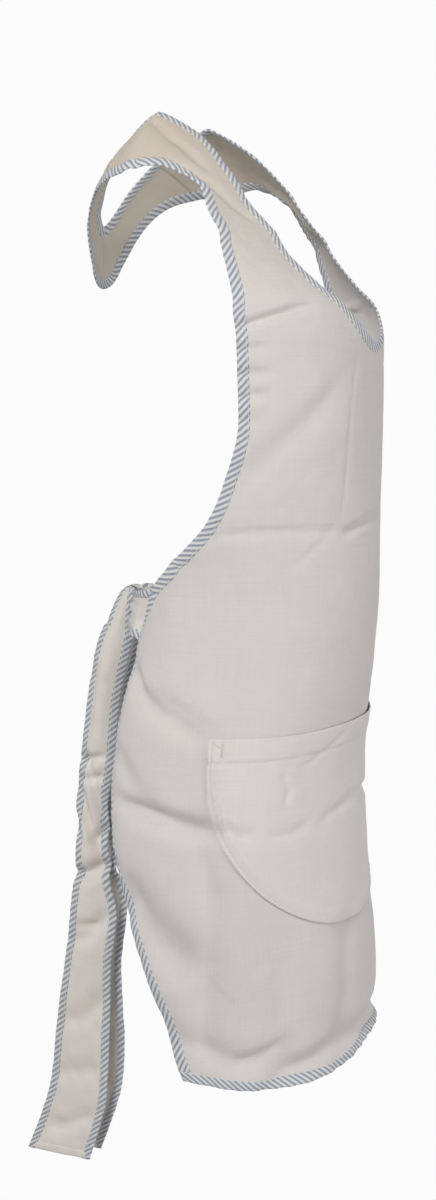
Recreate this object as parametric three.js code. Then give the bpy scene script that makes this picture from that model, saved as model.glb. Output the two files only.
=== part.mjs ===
// A butcher's bib apron in white cotton, as it is worn: bib and skirt cut in one, wide straps that run
// over the shoulders to a yoke at the back, a half-moon front pocket, striped bias binding round every
// edge, and waist ties that knot at the back and hang as two tails.
// Millimetres, +Z up. The apron faces -Y, and +X is the wearer's left.
// The origin is midway between the two places where the straps lie on the wearer's shoulders.
import * as THREE from "three";

// ---- Driving dimensions ----
const CLOTH = 1.6; // solid that stands for one layer of body cloth
const TAPE = 2.4; // folded binding, over both faces of the cloth
const GAP = 0.4; // clearance between pieces that are sewn together
const POCKET_CLEARANCE = 1.2; // between the skirt and the pocket's sewn edge
const EDGE_BINDING = 10; // visible width of the binding on the body
const TIE_BINDING = 8; // visible width of the binding on the ties
const SHOULDER_TO_WAIST = 463; // along the cloth, from the shoulder ridge to the waist corner
const WAIST_TO_HEM = 445; // along the centre front
const NECK_DROP = 243; // along the cloth, from the shoulder ridge to the lowest point of the neckline
const SEAM_BEHIND_RIDGE = 45; // shoulder seam, behind the ridge
const CHEST_HALF_WIDTH = 150;
const WAIST_HALF_WIDTH = 132;
const HIP_HALF_WIDTH = 180;
const FRONT_DEPTH = 147; // from the trunk's axis to the centre front of the bib
const HIP_REAR_DEPTH = 106; // from the trunk's axis back to the seat
const WAIST_REAR_DEPTH = 66; // from the trunk's axis back to the knot's level
const POCKET_DEPTH = 190; // from the mouth to the bottom of the half-moon
const POCKET_HALF_ANGLE = 73; // degrees round the trunk from the centre front
const POCKET_BELOW_WAIST = 127;
const POCKET_STAND = 14; // how far the mouth stands proud at the centre
const TIE_WIDTH = 50; // waist tie where it leaves the body
const TIE_WIDTH_IN_KNOT = 24;
const KNOT_RADIUS = 15;
const KNOT_END_RADIUS = 9;
const KNOT_HALF_LENGTH = 20;
const TAIL_APART = 14; // each tail hangs this far to its own side of the centre back
const CREASE_CLEARANCE = 3; // between the two halves of a tail, at the crease where it folds
const THREAD = 0.9; // width of a line of stitching
const THREAD_RISE = 0.6;

// ---- The trunk that the cloth lies round ----
const TRUNK_AXIS_Y = -38; // the trunk's axis is this far in front of the shoulder ridge
const BEND_DROP = 110; // the cloth is upright below this depth under the ridge
const BEND_FRONT = 150; // length of cloth from the ridge to the end of the bend, in front
const BEND_BACK = 120; // the same, behind

const DEGREE = Math.PI / 180;
const bib = (share) => share * SHOULDER_TO_WAIST;
const skirt = (share) => SHOULDER_TO_WAIST + share * WAIST_TO_HEM;

// A smooth curve through a few [place, value] pairs that never overshoots them.
function profile(keys) {
  const slopes = keys.map((key, i) => {
    const before = i > 0 ? (key[1] - keys[i - 1][1]) / (key[0] - keys[i - 1][0]) : null;
    const after = i < keys.length - 1 ? (keys[i + 1][1] - key[1]) / (keys[i + 1][0] - key[0]) : null;
    if (before === null) return after;
    if (after === null) return before;
    return before * after <= 0 ? 0 : (2 * before * after) / (before + after);
  });
  return (place) => {
    const t = Math.min(Math.max(place, keys[0][0]), keys.at(-1)[0]);
    let i = 0;
    while (i < keys.length - 2 && t > keys[i + 1][0]) i++;
    const span = keys[i + 1][0] - keys[i][0];
    const u = (t - keys[i][0]) / span;
    const v = 1 - u;
    return (
      (1 + 2 * u) * v * v * keys[i][1] +
      u * v * v * span * slopes[i] +
      u * u * (3 - 2 * u) * keys[i + 1][1] -
      u * u * v * span * slopes[i + 1]
    );
  };
}

// A smooth open curve through 2-D points, level at both ends, as a function of 0 to 1.
function throughPoints(points) {
  const mirrored = [
    [points[0][0], -points[1][1]],
    ...points,
    [points.at(-1)[0], -points.at(-2)[1]],
  ].map(([place, angle]) => new THREE.Vector3(place, angle, 0));
  mirrored[0].x = points[1][0];
  mirrored.at(-1).x = points.at(-2)[0];
  const curve = new THREE.CatmullRomCurve3(mirrored, false, "centripetal");
  const steps = mirrored.length - 1;
  return (share) => curve.getPoint((1 + share * (points.length - 1)) / steps);
}

// place: distance along the cloth from the shoulder ridge, + down the front, - down the back.
const halfWidth = profile([
  [-140, 0.73 * CHEST_HALF_WIDTH],
  [-60, 0.93 * CHEST_HALF_WIDTH],
  [0, CHEST_HALF_WIDTH + 2],
  [30, CHEST_HALF_WIDTH + 12],
  [75, CHEST_HALF_WIDTH + 25],
  [110, CHEST_HALF_WIDTH + 22],
  [BEND_FRONT, CHEST_HALF_WIDTH + 12],
  [bib(0.55), CHEST_HALF_WIDTH],
  [bib(0.8), (CHEST_HALF_WIDTH + WAIST_HALF_WIDTH) / 2],
  [bib(1), WAIST_HALF_WIDTH],
  [skirt(0.13), WAIST_HALF_WIDTH + 8],
  [skirt(0.31), 0.6 * HIP_HALF_WIDTH + 0.4 * WAIST_HALF_WIDTH],
  [skirt(0.53), HIP_HALF_WIDTH - 6],
  [skirt(0.85), HIP_HALF_WIDTH],
  [skirt(1.1), HIP_HALF_WIDTH + 1],
]);
const frontDepth = profile([
  [0, 121],
  [28, 103],
  [75, 84],
  [115, 77],
  [BEND_FRONT, 86],
  [BEND_FRONT + 42, FRONT_DEPTH - 29],
  [BEND_FRONT + 62, FRONT_DEPTH - 9],
  [NECK_DROP, FRONT_DEPTH],
  [bib(1), FRONT_DEPTH + 2],
  [skirt(0.17), FRONT_DEPTH - 4],
  [skirt(0.4), FRONT_DEPTH - 15],
  [skirt(0.62), FRONT_DEPTH - 11],
  [skirt(0.85), FRONT_DEPTH - 1],
  [skirt(1.1), FRONT_DEPTH],
]);
const yokeDepth = profile([
  [-140, 84],
  [-90, 84],
  [-60, 88],
  [-25, 102],
  [0, 121],
]);
const rearDepth = profile([
  [bib(0.55), WAIST_REAR_DEPTH + 14],
  [bib(0.8), WAIST_REAR_DEPTH],
  [bib(1), WAIST_REAR_DEPTH],
  [skirt(0.13), WAIST_REAR_DEPTH + 12],
  [skirt(0.31), HIP_REAR_DEPTH - 8],
  [skirt(0.53), HIP_REAR_DEPTH],
  [skirt(1.1), HIP_REAR_DEPTH + 2],
]);
const squareness = profile([
  [130, 1],
  [220, 0.86],
  [300, 0.86],
  [420, 0.95],
  [700, 0.95],
]);
const axisY = profile([
  [0, 0],
  [BEND_FRONT, TRUNK_AXIS_Y],
]);

// The point of the trunk at a place along the cloth and an angle round it in degrees: 0 is the
// centre line, + the wearer's left. Past the bend the sections are level; on it they fan round the ridge.
function trunk(place, angle) {
  const a = angle * DEGREE;
  let turn = 0;
  if (place < BEND_FRONT) turn = 90 * (1 - Math.max(place, 0) / BEND_FRONT);
  if (place < 0) turn += 90 * Math.min(-place / BEND_BACK, 1);
  let z = -BEND_DROP;
  if (place > BEND_FRONT) z -= place - BEND_FRONT;
  if (place < -BEND_BACK) z += place + BEND_BACK;
  const power = squareness(place);
  const ahead = Math.sign(Math.cos(a)) * Math.abs(Math.cos(a)) ** power;
  const depth = place < 0 ? yokeDepth(place) : ahead < 0 ? rearDepth(place) : frontDepth(place);
  const out = depth * ahead;
  return new THREE.Vector3(
    halfWidth(place) * Math.sign(Math.sin(a)) * Math.abs(Math.sin(a)) ** power,
    axisY(place) - out * Math.cos(turn * DEGREE),
    z + out * Math.sin(turn * DEGREE),
  );
}

// A point of cloth with its outward normal, lifted off the trunk by some millimetres.
function cloth(place, angle, lift = 0) {
  const step = 0.5;
  const down = trunk(place + step, angle).sub(trunk(place - step, angle));
  const round = trunk(place, angle + step).sub(trunk(place, angle - step));
  const normal = down.cross(round).normalize();
  return { point: trunk(place, angle).addScaledVector(normal, lift), normal };
}

// ---- Solids from sheets ----
// Grids of { point, normal } that share their edges become one closed solid of the given thickness.
function sheetSolid(grids, thickness) {
  const vertices = [];
  const found = new Map();
  const index = ({ point, normal }) => {
    const key = point.toArray().map((c) => Math.round(c * 100) + 0).join();
    if (!found.has(key)) {
      found.set(key, vertices.length);
      vertices.push({ point, normal });
    }
    return found.get(key);
  };
  const outer = [];
  for (const grid of grids) {
    const ids = grid.map((row) => row.map(index));
    for (let i = 0; i + 1 < ids.length; i++) {
      for (let j = 0; j + 1 < ids[i].length; j++) {
        const [a, b, c, d] = [ids[i][j], ids[i + 1][j], ids[i + 1][j + 1], ids[i][j + 1]];
        for (const face of [[a, b, c], [a, c, d]]) {
          if (new Set(face).size === 3) outer.push(facing(face, vertices));
        }
      }
    }
  }
  const used = new Set(outer.flatMap(([a, b, c]) => [`${a},${b}`, `${b},${c}`, `${c},${a}`]));
  const count = vertices.length;
  const faces = [...outer, ...outer.map(([a, b, c]) => [a + count, c + count, b + count])];
  for (const edge of used) {
    const [a, b] = edge.split(",").map(Number);
    if (!used.has(`${b},${a}`)) faces.push([a, a + count, b + count], [a, b + count, b]);
  }
  const moved = (sign) =>
    vertices.flatMap(({ point, normal }) =>
      point.clone().addScaledVector(normal, (sign * thickness) / 2).toArray(),
    );
  const geometry = new THREE.BufferGeometry();
  geometry.setAttribute("position", new THREE.Float32BufferAttribute([...moved(1), ...moved(-1)], 3));
  geometry.setIndex(faces.flat());
  geometry.computeVertexNormals();
  return geometry;
}

// The face, turned over where it looks away from its vertices' normals.
function facing([a, b, c], vertices) {
  const [p, q, r] = [a, b, c].map((i) => vertices[i].point);
  const normal = q.clone().sub(p).cross(r.clone().sub(p));
  return normal.dot(vertices[a].normal) < 0 ? [a, c, b] : [a, b, c];
}

// A grid whose rows run from a point of one edge to a point of the other, in equal steps.
function between(edgeA, edgeB, columns, make) {
  return edgeA.map((a, i) => {
    const b = edgeB[i];
    return Array.from({ length: columns + 1 }, (_, j) => {
      const share = j / columns;
      return make(a[0] + (b[0] - a[0]) * share, a[1] + (b[1] - a[1]) * share);
    });
  });
}

const steps = (count, from = 0, to = 1) =>
  Array.from({ length: count + 1 }, (_, i) => from + ((to - from) * i) / count);

// ---- Outline of one half of the apron, as [place, angle] ----
const neckline = throughPoints([
  [-106, 0],
  [-98, 6],
  [-78, 10.5],
  [-SEAM_BEHIND_RIDGE, 16],
  [-20, 20],
  [0, 24],
  [30, 22.5],
  [75, 26],
  [125, 28],
  [BEND_FRONT + 10, 26.5],
  [NECK_DROP - 51, 22],
  [NECK_DROP - 28, 15.5],
  [NECK_DROP - 9, 8],
  [NECK_DROP, 0],
]);
const armholeEdge = profile([
  [-SEAM_BEHIND_RIDGE, 52],
  [-20, 60],
  [0, 63],
  [30, 54],
  [75, 46.5],
  [100, 49.5],
  [BEND_FRONT, 58],
  [BEND_FRONT + 42, 64],
  [bib(0.48), 68],
  [bib(0.67), 68],
  [bib(0.8), 73],
  [bib(0.865), 78],
  [bib(0.907), 84],
  [bib(0.95), 92],
  [bib(1), 110],
]);
const yokeEdge = throughPoints([
  [-163, 0],
  [-158, 10],
  [-138, 20],
  [-110, 30],
  [-80, 38],
  [-SEAM_BEHIND_RIDGE, 52],
  [-20, 60],
]);
const YOKE_SHARE = 5 / 6; // share of the yoke edge's points that lies below the shoulder seam
const sideEdge = profile([
  [skirt(0), 110],
  [skirt(0.08), 122],
  [skirt(0.22), 127],
  [skirt(0.35), 127],
  [skirt(0.49), 122],
  [skirt(0.58), 116],
  [skirt(0.67), 108],
  [skirt(0.76), 97],
  [skirt(0.85), 88],
  [skirt(0.94), 83],
  [skirt(1.01), 78],
]);
const hemDip = profile([
  [0, 0],
  [45, 3],
  [80, -11],
]);
const hemPlace = (angle) => skirt(1) + hemDip(Math.abs(angle));

// The angle that is a distance inside an edge, measured square to the edge.
function inside(edge, place, distance) {
  const angle = edge(place);
  const along = trunk(place + 1, edge(place + 1)).sub(trunk(place - 1, edge(place - 1)));
  const round = trunk(place, angle + 0.5).sub(trunk(place, angle - 0.5));
  return angle - (distance * along.length()) / along.cross(round).length();
}

// The [place, angle] that is a distance to one side of a curve, measured square to it.
function offset(curve, share, distance) {
  const tiny = 0.001;
  const here = curve(share);
  if (share === 0) return [here.x - distance, 0];
  if (share === 1) return [here.x + distance, 0];
  const ahead = curve(Math.min(share + tiny, 1));
  const behind = curve(Math.max(share - tiny, 0));
  const along = trunk(ahead.x, ahead.y).sub(trunk(behind.x, behind.y)).normalize();
  const { normal } = cloth(here.x, here.y);
  const target = normal.cross(along).multiplyScalar(distance);
  const perPlace = trunk(here.x + 0.5, here.y).sub(trunk(here.x - 0.5, here.y));
  const perAngle = trunk(here.x, here.y + 0.5).sub(trunk(here.x, here.y - 0.5));
  const pp = perPlace.dot(perPlace);
  const pa = perPlace.dot(perAngle);
  const aa = perAngle.dot(perAngle);
  const tp = target.dot(perPlace);
  const ta = target.dot(perAngle);
  const det = pp * aa - pa * pa;
  return [here.x + (tp * aa - ta * pa) / det, Math.max(here.y + (ta * pp - tp * pa) / det, 0)];
}

// ---- Materials ----
const finish = (color, roughness) => new THREE.MeshStandardMaterial({ color, roughness, metalness: 0 });
const COTTON = finish(0xe9e6df, 0.9);
const STRIPED = finish(0xb9c1cf, 0.85);
const STITCH = finish(0xf2efe8, 0.8);

const apron = new THREE.Group();
apron.name = "butcher_apron";
function add(name, geometry, material) {
  const mesh = new THREE.Mesh(geometry, material);
  mesh.name = name;
  apron.add(mesh);
}
const SIDES = [
  ["right", -1],
  ["left", 1],
];

// ---- Body: bib, skirt and the straps up to the shoulder seams, cut in one ----
const COLUMNS = 10;
const NECK_STEPS = 42;
const SEAM_STEP = 10; // neckline step at the shoulder seam
const neckSteps = steps(NECK_STEPS);
const neckInside = (share, distance) => offset(neckline, share, distance);
const bodyNeck = neckSteps.slice(SEAM_STEP).map((share) => neckInside(share, EDGE_BINDING + GAP));
const FIRST_LOW_ROW = bodyNeck.at(-1)[0];
const bibRows = steps(10).slice(1).map(
  (share) => FIRST_LOW_ROW + (bib(1) - GAP - FIRST_LOW_ROW) * Math.sin((share * Math.PI) / 2),
);
const skirtShares = steps(17).map((share) => share ** 1.3);

const edgeInside = (place, distance) =>
  place < bib(1) ? inside(armholeEdge, place, distance) : inside(sideEdge, place, distance);

// A row of the skirt: its outer end, and how its places slide to meet the shaped hem.
function skirtRow(share, inset) {
  let angle = 100;
  let place = bib(1);
  for (let i = 0; i < 8; i++) {
    place = bib(1) + share * (hemPlace(angle) - EDGE_BINDING - GAP - bib(1));
    angle = inside(sideEdge, place, inset);
  }
  return steps(COLUMNS).map((part) => {
    const a = angle * part;
    return [bib(1) + share * (hemPlace(a) - EDGE_BINDING - GAP - bib(1)), a];
  });
}

function bodyHalf(side) {
  const strap = between(
    bodyNeck,
    bodyNeck.map(([place]) => [place, edgeInside(place, EDGE_BINDING + GAP)]),
    COLUMNS,
    (place, angle) => cloth(place, side * angle),
  );
  const lower = bibRows.map((place) =>
    steps(COLUMNS).map((part) => cloth(place, side * part * edgeInside(place, EDGE_BINDING + GAP))),
  );
  const low = skirtShares.map((share) =>
    skirtRow(share, EDGE_BINDING + GAP).map(([place, angle]) => cloth(place, side * angle)),
  );
  return [...strap, ...lower, ...low];
}
add("apron_body", sheetSolid(SIDES.map(([, side]) => bodyHalf(side)), CLOTH), COTTON);

// ---- Back yoke: each strap goes on from its shoulder seam to the centre-back seam ----
const yokeSteps = steps(SEAM_STEP);
const neckAt = (share) => (share * SEAM_STEP) / NECK_STEPS;
const yokeAt = (share) => share * YOKE_SHARE;
for (const [name, side] of SIDES) {
  const seamGap = GAP / 2;
  const keepOff = ([place, angle]) => [Math.min(place, bodyNeck[0][0] - GAP), angle];
  const inner = yokeSteps.map((share) => keepOff(neckInside(neckAt(share), EDGE_BINDING + GAP)));
  const outer = yokeSteps.map((share) => keepOff(offset(yokeEdge, yokeAt(share), -EDGE_BINDING - GAP)));
  outer[SEAM_STEP] = [bodyNeck[0][0] - GAP, edgeInside(bodyNeck[0][0], EDGE_BINDING + 3 * GAP)];
  const grid = between(inner, outer, 4, (place, angle) => {
    const made = cloth(place, side * angle);
    made.point.x = side * Math.max(side * made.point.x, seamGap);
    return made;
  });
  add(`${name}_back_strap`, sheetSolid([grid], CLOTH), COTTON);
}

// ---- Bindings ----
// A strip of binding between matching [place, angle] points.
function bindingStrip(edge, inner, side) {
  return edge.map((point, i) => [point, inner[i]].map(([place, angle]) => cloth(place, side * angle)));
}

const neckEdge = neckSteps.map((share) => neckInside(share, 0));
const neckInner = neckSteps.map((share) => neckInside(share, EDGE_BINDING));
add("neck_binding", sheetSolid(SIDES.map(([, side]) => bindingStrip(neckEdge, neckInner, side)), TAPE), STRIPED);

const armRows = [...bodyNeck.map(([place]) => place), ...bibRows];
for (const [name, side] of SIDES) {
  const yokeOuter = yokeSteps.slice(0, -1).map((share) => offset(yokeEdge, yokeAt(share), 0));
  const yokeInner = yokeSteps.slice(0, -1).map((share) => offset(yokeEdge, yokeAt(share), -EDGE_BINDING));
  const edge = [...yokeOuter, ...armRows.map((place) => [place, armholeEdge(place)])];
  const inner = [...yokeInner, ...armRows.map((place) => [place, inside(armholeEdge, place, EDGE_BINDING)])];
  const strip = bindingStrip(edge, inner, side);
  for (const made of strip[0]) made.point.x = (side * GAP) / 2;
  add(`${name}_armhole_binding`, sheetSolid([strip], TAPE), STRIPED);

  const rows = skirtShares.map((share) => {
    const row = skirtRow(share, EDGE_BINDING);
    const place = row.at(-1)[0];
    return [
      [place, sideEdge(place)],
      [place, inside(sideEdge, place, EDGE_BINDING)],
    ];
  });
  const corner = hemPlace(sideEdge(skirt(1)));
  rows.push([
    [corner, sideEdge(corner)],
    [corner, inside(sideEdge, corner, EDGE_BINDING)],
  ]);
  const grid = rows.map((row) => row.map(([place, angle]) => cloth(place, side * angle)));
  add(`${name}_side_binding`, sheetSolid([grid], TAPE), STRIPED);
}

const hemTopEnd = skirtRow(1, EDGE_BINDING + 3 * GAP).at(-1)[1];
const hemLowEnd = inside(sideEdge, hemPlace(sideEdge(skirt(1))), EDGE_BINDING + 3 * GAP);
const hemGrid = steps(2 * COLUMNS, -1, 1).map((part) => [
  cloth(hemPlace(hemTopEnd * part) - EDGE_BINDING, hemTopEnd * part),
  cloth(hemPlace(hemLowEnd * part), hemLowEnd * part),
]);
add("hem_binding", sheetSolid([hemGrid], TAPE), STRIPED);

// ---- Half-moon pocket ----
const POCKET_TOP = bib(1) + POCKET_BELOW_WAIST;
const POCKET_SIDE = 22; // straight part of the pocket's sides, below the mouth
const HEM_DEPTH = 20; // folded hem at the pocket's mouth
const pocketLow = (angle) =>
  POCKET_TOP +
  POCKET_SIDE +
  (POCKET_DEPTH - POCKET_SIDE) * Math.sqrt(Math.max(1 - (angle / POCKET_HALF_ANGLE) ** 2, 0));
// The pocket lies on the skirt round its seam and stands proud of it towards the mouth.
function pocketLift(place, angle) {
  const down = Math.min(Math.max((place - POCKET_TOP) / POCKET_DEPTH, 0), 1);
  const round = Math.min(Math.abs(angle) / POCKET_HALF_ANGLE, 1);
  return CLOTH + POCKET_CLEARANCE + POCKET_STAND * (1 - down) * (1 - round ** 2);
}
const pocketCloth = (place, angle, rise = 0) => cloth(place, angle, pocketLift(place, angle) + rise);
const POCKET_COLUMNS = 20;
const pocketAngles = steps(POCKET_COLUMNS, -1, 1).map(
  (part) => POCKET_HALF_ANGLE * Math.sin((part * Math.PI) / 2),
);
const pocketHem = [POCKET_TOP + HEM_DEPTH, POCKET_TOP + HEM_DEPTH + THREAD];
const pocketGrid = pocketAngles.map((angle) => {
  const below = steps(5, pocketHem[1], pocketLow(angle));
  return [POCKET_TOP, pocketHem[0], ...below].map((place) => pocketCloth(place, angle));
});
add("pocket", sheetSolid([pocketGrid], CLOTH), COTTON);

// ---- Stitching ----
const STITCH_IN = 4; // seam line, inside the pocket's edge
const onPocket = (CLOTH + THREAD_RISE) / 2 + GAP;
const shrunk = (angle, inset) => (angle * (POCKET_HALF_ANGLE - inset / 2.8)) / POCKET_HALF_ANGLE;
const seamPlace = (angle, inset) => {
  const share = 1 - inset / POCKET_DEPTH;
  return POCKET_TOP + POCKET_SIDE + (pocketLow(angle) - POCKET_TOP - POCKET_SIDE) * share;
};
const seamAngles = [-POCKET_HALF_ANGLE, ...pocketAngles, POCKET_HALF_ANGLE];
const seamGrid = seamAngles.map((angle, i) => {
  const top = i === 0 || i === seamAngles.length - 1;
  return [STITCH_IN, STITCH_IN + THREAD].map((inset) => {
    const place = top ? POCKET_TOP + STITCH_IN : seamPlace(angle, inset);
    return pocketCloth(place, shrunk(angle, inset), onPocket);
  });
});
add("pocket_stitching", sheetSolid([seamGrid], THREAD_RISE), STITCH);

const hemStitchAngle = shrunk(POCKET_HALF_ANGLE, STITCH_IN + THREAD + 4);
const hemStitchAngles = [
  -hemStitchAngle,
  ...pocketAngles.filter((angle) => Math.abs(angle) < hemStitchAngle - 1),
  hemStitchAngle,
];
const hemStitch = hemStitchAngles.map((angle) =>
  pocketHem.map((place) => pocketCloth(place, angle, onPocket)),
);
add("pocket_hem_stitching", sheetSolid([hemStitch], THREAD_RISE), STITCH);

const TACK_LENGTH = 12;
const TACK_WIDTH = 2;
for (const [name, side] of SIDES) {
  const from = shrunk(POCKET_HALF_ANGLE, STITCH_IN + THREAD + 5);
  const tack = steps(2).map((share) =>
    [0, -TACK_WIDTH / 2.8].map((more) =>
      pocketCloth(POCKET_TOP + STITCH_IN + share * TACK_LENGTH, side * (from + more), onPocket),
    ),
  );
  add(`${name}_pocket_tack`, sheetSolid([tack], THREAD_RISE), STITCH);
}

// ---- Waist ties, from the waist corners to the knot ----
const KNOT_PLACE = bib(1) + 26;
const KNOT_Z = -BEND_DROP - (KNOT_PLACE - BEND_FRONT);
const KNOT_Y = TRUNK_AXIS_Y + WAIST_REAR_DEPTH + 6;
const tieTop = (share) => bib(1) + share * (KNOT_PLACE - TIE_WIDTH_IN_KNOT / 2 - bib(1));
const tieLow = (share) =>
  bib(1) + TIE_WIDTH + share * (KNOT_PLACE + TIE_WIDTH_IN_KNOT / 2 - bib(1) - TIE_WIDTH);
const knotAngle =
  180 - Math.asin((KNOT_HALF_LENGTH + GAP) / halfWidth(KNOT_PLACE)) ** (1 / squareness(KNOT_PLACE)) / DEGREE;

const TIE_SEAM = 0.5; // degrees between the side binding and the tie that is sewn to it
// The upper and lower edge of a strip of the tie. A distance is counted down from the tie's upper edge,
// or, where it is negative, up from its lower edge.
const tieEdges = (share, fromTop, toLow) =>
  [fromTop, toLow].map((distance) => (distance < 0 ? tieLow(share) : tieTop(share)) + distance);
function tieStrip(side, fromTop, toLow, columns) {
  const corner = tieEdges(0, fromTop, toLow);
  return steps(8).map((share) => {
    const edges = tieEdges(share, fromTop, toLow);
    return steps(columns).map((across) => {
      const start = sideEdge(corner[0] + across * (corner[1] - corner[0])) + TIE_SEAM;
      const place = edges[0] + across * (edges[1] - edges[0]);
      return cloth(place, side * (start + share * (knotAngle - start)));
    });
  });
}
const FAR = -1e-9; // the far edge itself, as a distance back from it
for (const [name, side] of SIDES) {
  const tie = tieStrip(side, TIE_BINDING + GAP, -TIE_BINDING - GAP, 4);
  add(`${name}_waist_tie`, sheetSolid([tie], CLOTH), COTTON);
  const upper = tieStrip(side, 0, TIE_BINDING, 1);
  add(`${name}_waist_tie_upper_binding`, sheetSolid([upper], TAPE), STRIPED);
  const lower = tieStrip(side, -TIE_BINDING, FAR, 1);
  add(`${name}_waist_tie_lower_binding`, sheetSolid([lower], TAPE), STRIPED);
}

// The knot is a plump roll across the back.
const knotProfile = [
  [0, -KNOT_HALF_LENGTH],
  [KNOT_END_RADIUS, -KNOT_HALF_LENGTH],
  [KNOT_RADIUS - 1.5, -0.55 * KNOT_HALF_LENGTH],
  [KNOT_RADIUS, 0],
  [KNOT_RADIUS - 1.5, 0.55 * KNOT_HALF_LENGTH],
  [KNOT_END_RADIUS, KNOT_HALF_LENGTH],
  [0, KNOT_HALF_LENGTH],
].map(([radius, along]) => new THREE.Vector2(radius, along));
const knot = new THREE.LatheGeometry(knotProfile, 16);
knot.rotateZ(-Math.PI / 2);
knot.translate(0, KNOT_Y, KNOT_Z);
add("waist_knot", knot, COTTON);

// ---- Tails ----
// Each tail hangs edge-on to the back. [depth under the knot, rear edge y, front edge y], from the knot's y.
const TAIL = [
  [14, 36, 12],
  [30, 46, 16],
  [55, 56, 22],
  [100, 66, 32],
  [160, 73, 38],
  [220, 80, 46],
  [272, 80, 44],
  [315, 85, 36],
  [375, 93, 43],
  [440, 102, 45],
  [505, 111, 48],
  [540, 121, 56],
  [578, 136, 68],
];
const rearTail = profile(TAIL.map(([depth, rear]) => [depth, rear]));
const frontTail = profile(TAIL.map(([depth, , front]) => [depth, front]));
const TAIL_START = TAIL[0][0];
const TAIL_END = TAIL.at(-1)[0];
const CREASE_DEPTH = 281;
const CREASE_RISE = 0.25; // the crease climbs this much for each millimetre towards the rear edge
const END_HEM = 8;

const outward = new THREE.Vector3(1, 0, 0);
// A point of the tail: depth is measured along its middle, across from the front edge, 0, to the rear, 1.
function tailPoint(side, depth, across, slope) {
  const front = frontTail(depth);
  const rear = rearTail(depth);
  const y = front + across * (rear - front);
  const middle = (front + rear) / 2;
  const z = -depth + slope * (y - middle);
  return { point: new THREE.Vector3(side * TAIL_APART, KNOT_Y + y, KNOT_Z + z), normal: outward };
}

// A length of tail between two depths and two distances from its front edge; negative counts from the rear.
function tailStrip(side, fromDepth, toDepth, from, to, count) {
  return steps(count, fromDepth, toDepth).map((depth) => {
    const width = rearTail(depth) - frontTail(depth);
    const slope = tailSlope(depth);
    return [from, to].map((d) => tailPoint(side, depth, d >= 0 ? d / width : 1 + d / width, slope));
  });
}
// Cross lines of the tail lie square to it, and along the crease where it folds.
const tailSlope = profile([
  [TAIL_START, 0.28],
  [CREASE_DEPTH - 60, 0.1],
  [CREASE_DEPTH - 2, CREASE_RISE],
  [CREASE_DEPTH + 2, CREASE_RISE],
  [CREASE_DEPTH + 60, 0.14],
  [TAIL_END, 0.05],
]);
const upperEnd = CREASE_DEPTH - CREASE_CLEARANCE / 2;
const lowerStart = CREASE_DEPTH + CREASE_CLEARANCE / 2;
for (const [name, side] of SIDES) {
  const strips = [
    ["upper", TAIL_START, upperEnd, 12],
    ["lower", lowerStart, TAIL_END - END_HEM - GAP, 12],
  ];
  for (const [half, from, to, count] of strips) {
    const inset = TIE_BINDING + GAP;
    add(`${name}_tail_${half}`, sheetSolid([tailStrip(side, from, to, inset, -inset, count)], CLOTH), COTTON);
    const front = tailStrip(side, from, to, 0, TIE_BINDING, count);
    add(`${name}_tail_${half}_front_binding`, sheetSolid([front], TAPE), STRIPED);
    const rear = tailStrip(side, from, to, -TIE_BINDING, FAR, count);
    add(`${name}_tail_${half}_rear_binding`, sheetSolid([rear], TAPE), STRIPED);
  }
  const hem = tailStrip(side, TAIL_END - END_HEM, TAIL_END, 0, FAR, 2);
  add(`${name}_tail_end_hem`, sheetSolid([hem], TAPE), COTTON);
}

export default apron;
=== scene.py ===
# %% [markdown]
# A butcher's bib apron in white cotton, as it is worn. The frame holds one plain solid for each sewn
# piece, in its true place. Every piece made here is the real cloth, tape or thread that stands for one
# of those solids, so each takes its place from the same few sizes as the solid did.

# %% Load the frame
import math
import bpy
import numpy as np
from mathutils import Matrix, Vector


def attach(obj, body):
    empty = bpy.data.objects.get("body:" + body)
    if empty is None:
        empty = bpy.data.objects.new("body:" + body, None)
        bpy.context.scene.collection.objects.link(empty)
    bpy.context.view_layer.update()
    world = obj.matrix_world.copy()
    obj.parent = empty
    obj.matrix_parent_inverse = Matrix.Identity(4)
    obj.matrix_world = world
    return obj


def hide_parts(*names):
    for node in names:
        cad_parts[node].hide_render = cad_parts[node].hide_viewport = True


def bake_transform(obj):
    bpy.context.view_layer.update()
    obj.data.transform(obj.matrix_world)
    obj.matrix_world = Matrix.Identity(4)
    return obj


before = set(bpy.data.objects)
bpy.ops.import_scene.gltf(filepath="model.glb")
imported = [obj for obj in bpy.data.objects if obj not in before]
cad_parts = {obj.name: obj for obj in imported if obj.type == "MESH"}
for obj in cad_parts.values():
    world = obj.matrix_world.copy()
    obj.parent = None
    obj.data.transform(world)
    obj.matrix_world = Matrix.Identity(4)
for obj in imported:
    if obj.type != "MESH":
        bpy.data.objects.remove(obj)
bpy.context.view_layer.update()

# %% [markdown]
# The cloth lies round a trunk. A place on it is named by two numbers: how far down the cloth it is from
# the shoulder ridge, in millimetres, and the angle round the trunk from the centre front, in degrees.
# A tailor measures the same way, with a tape down the body and round it. The alternative, pushing
# vertices of a box about until it looks worn, would lose the seams, and every seam here is a line of
# such places. The sizes are the frame's own.

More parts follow.
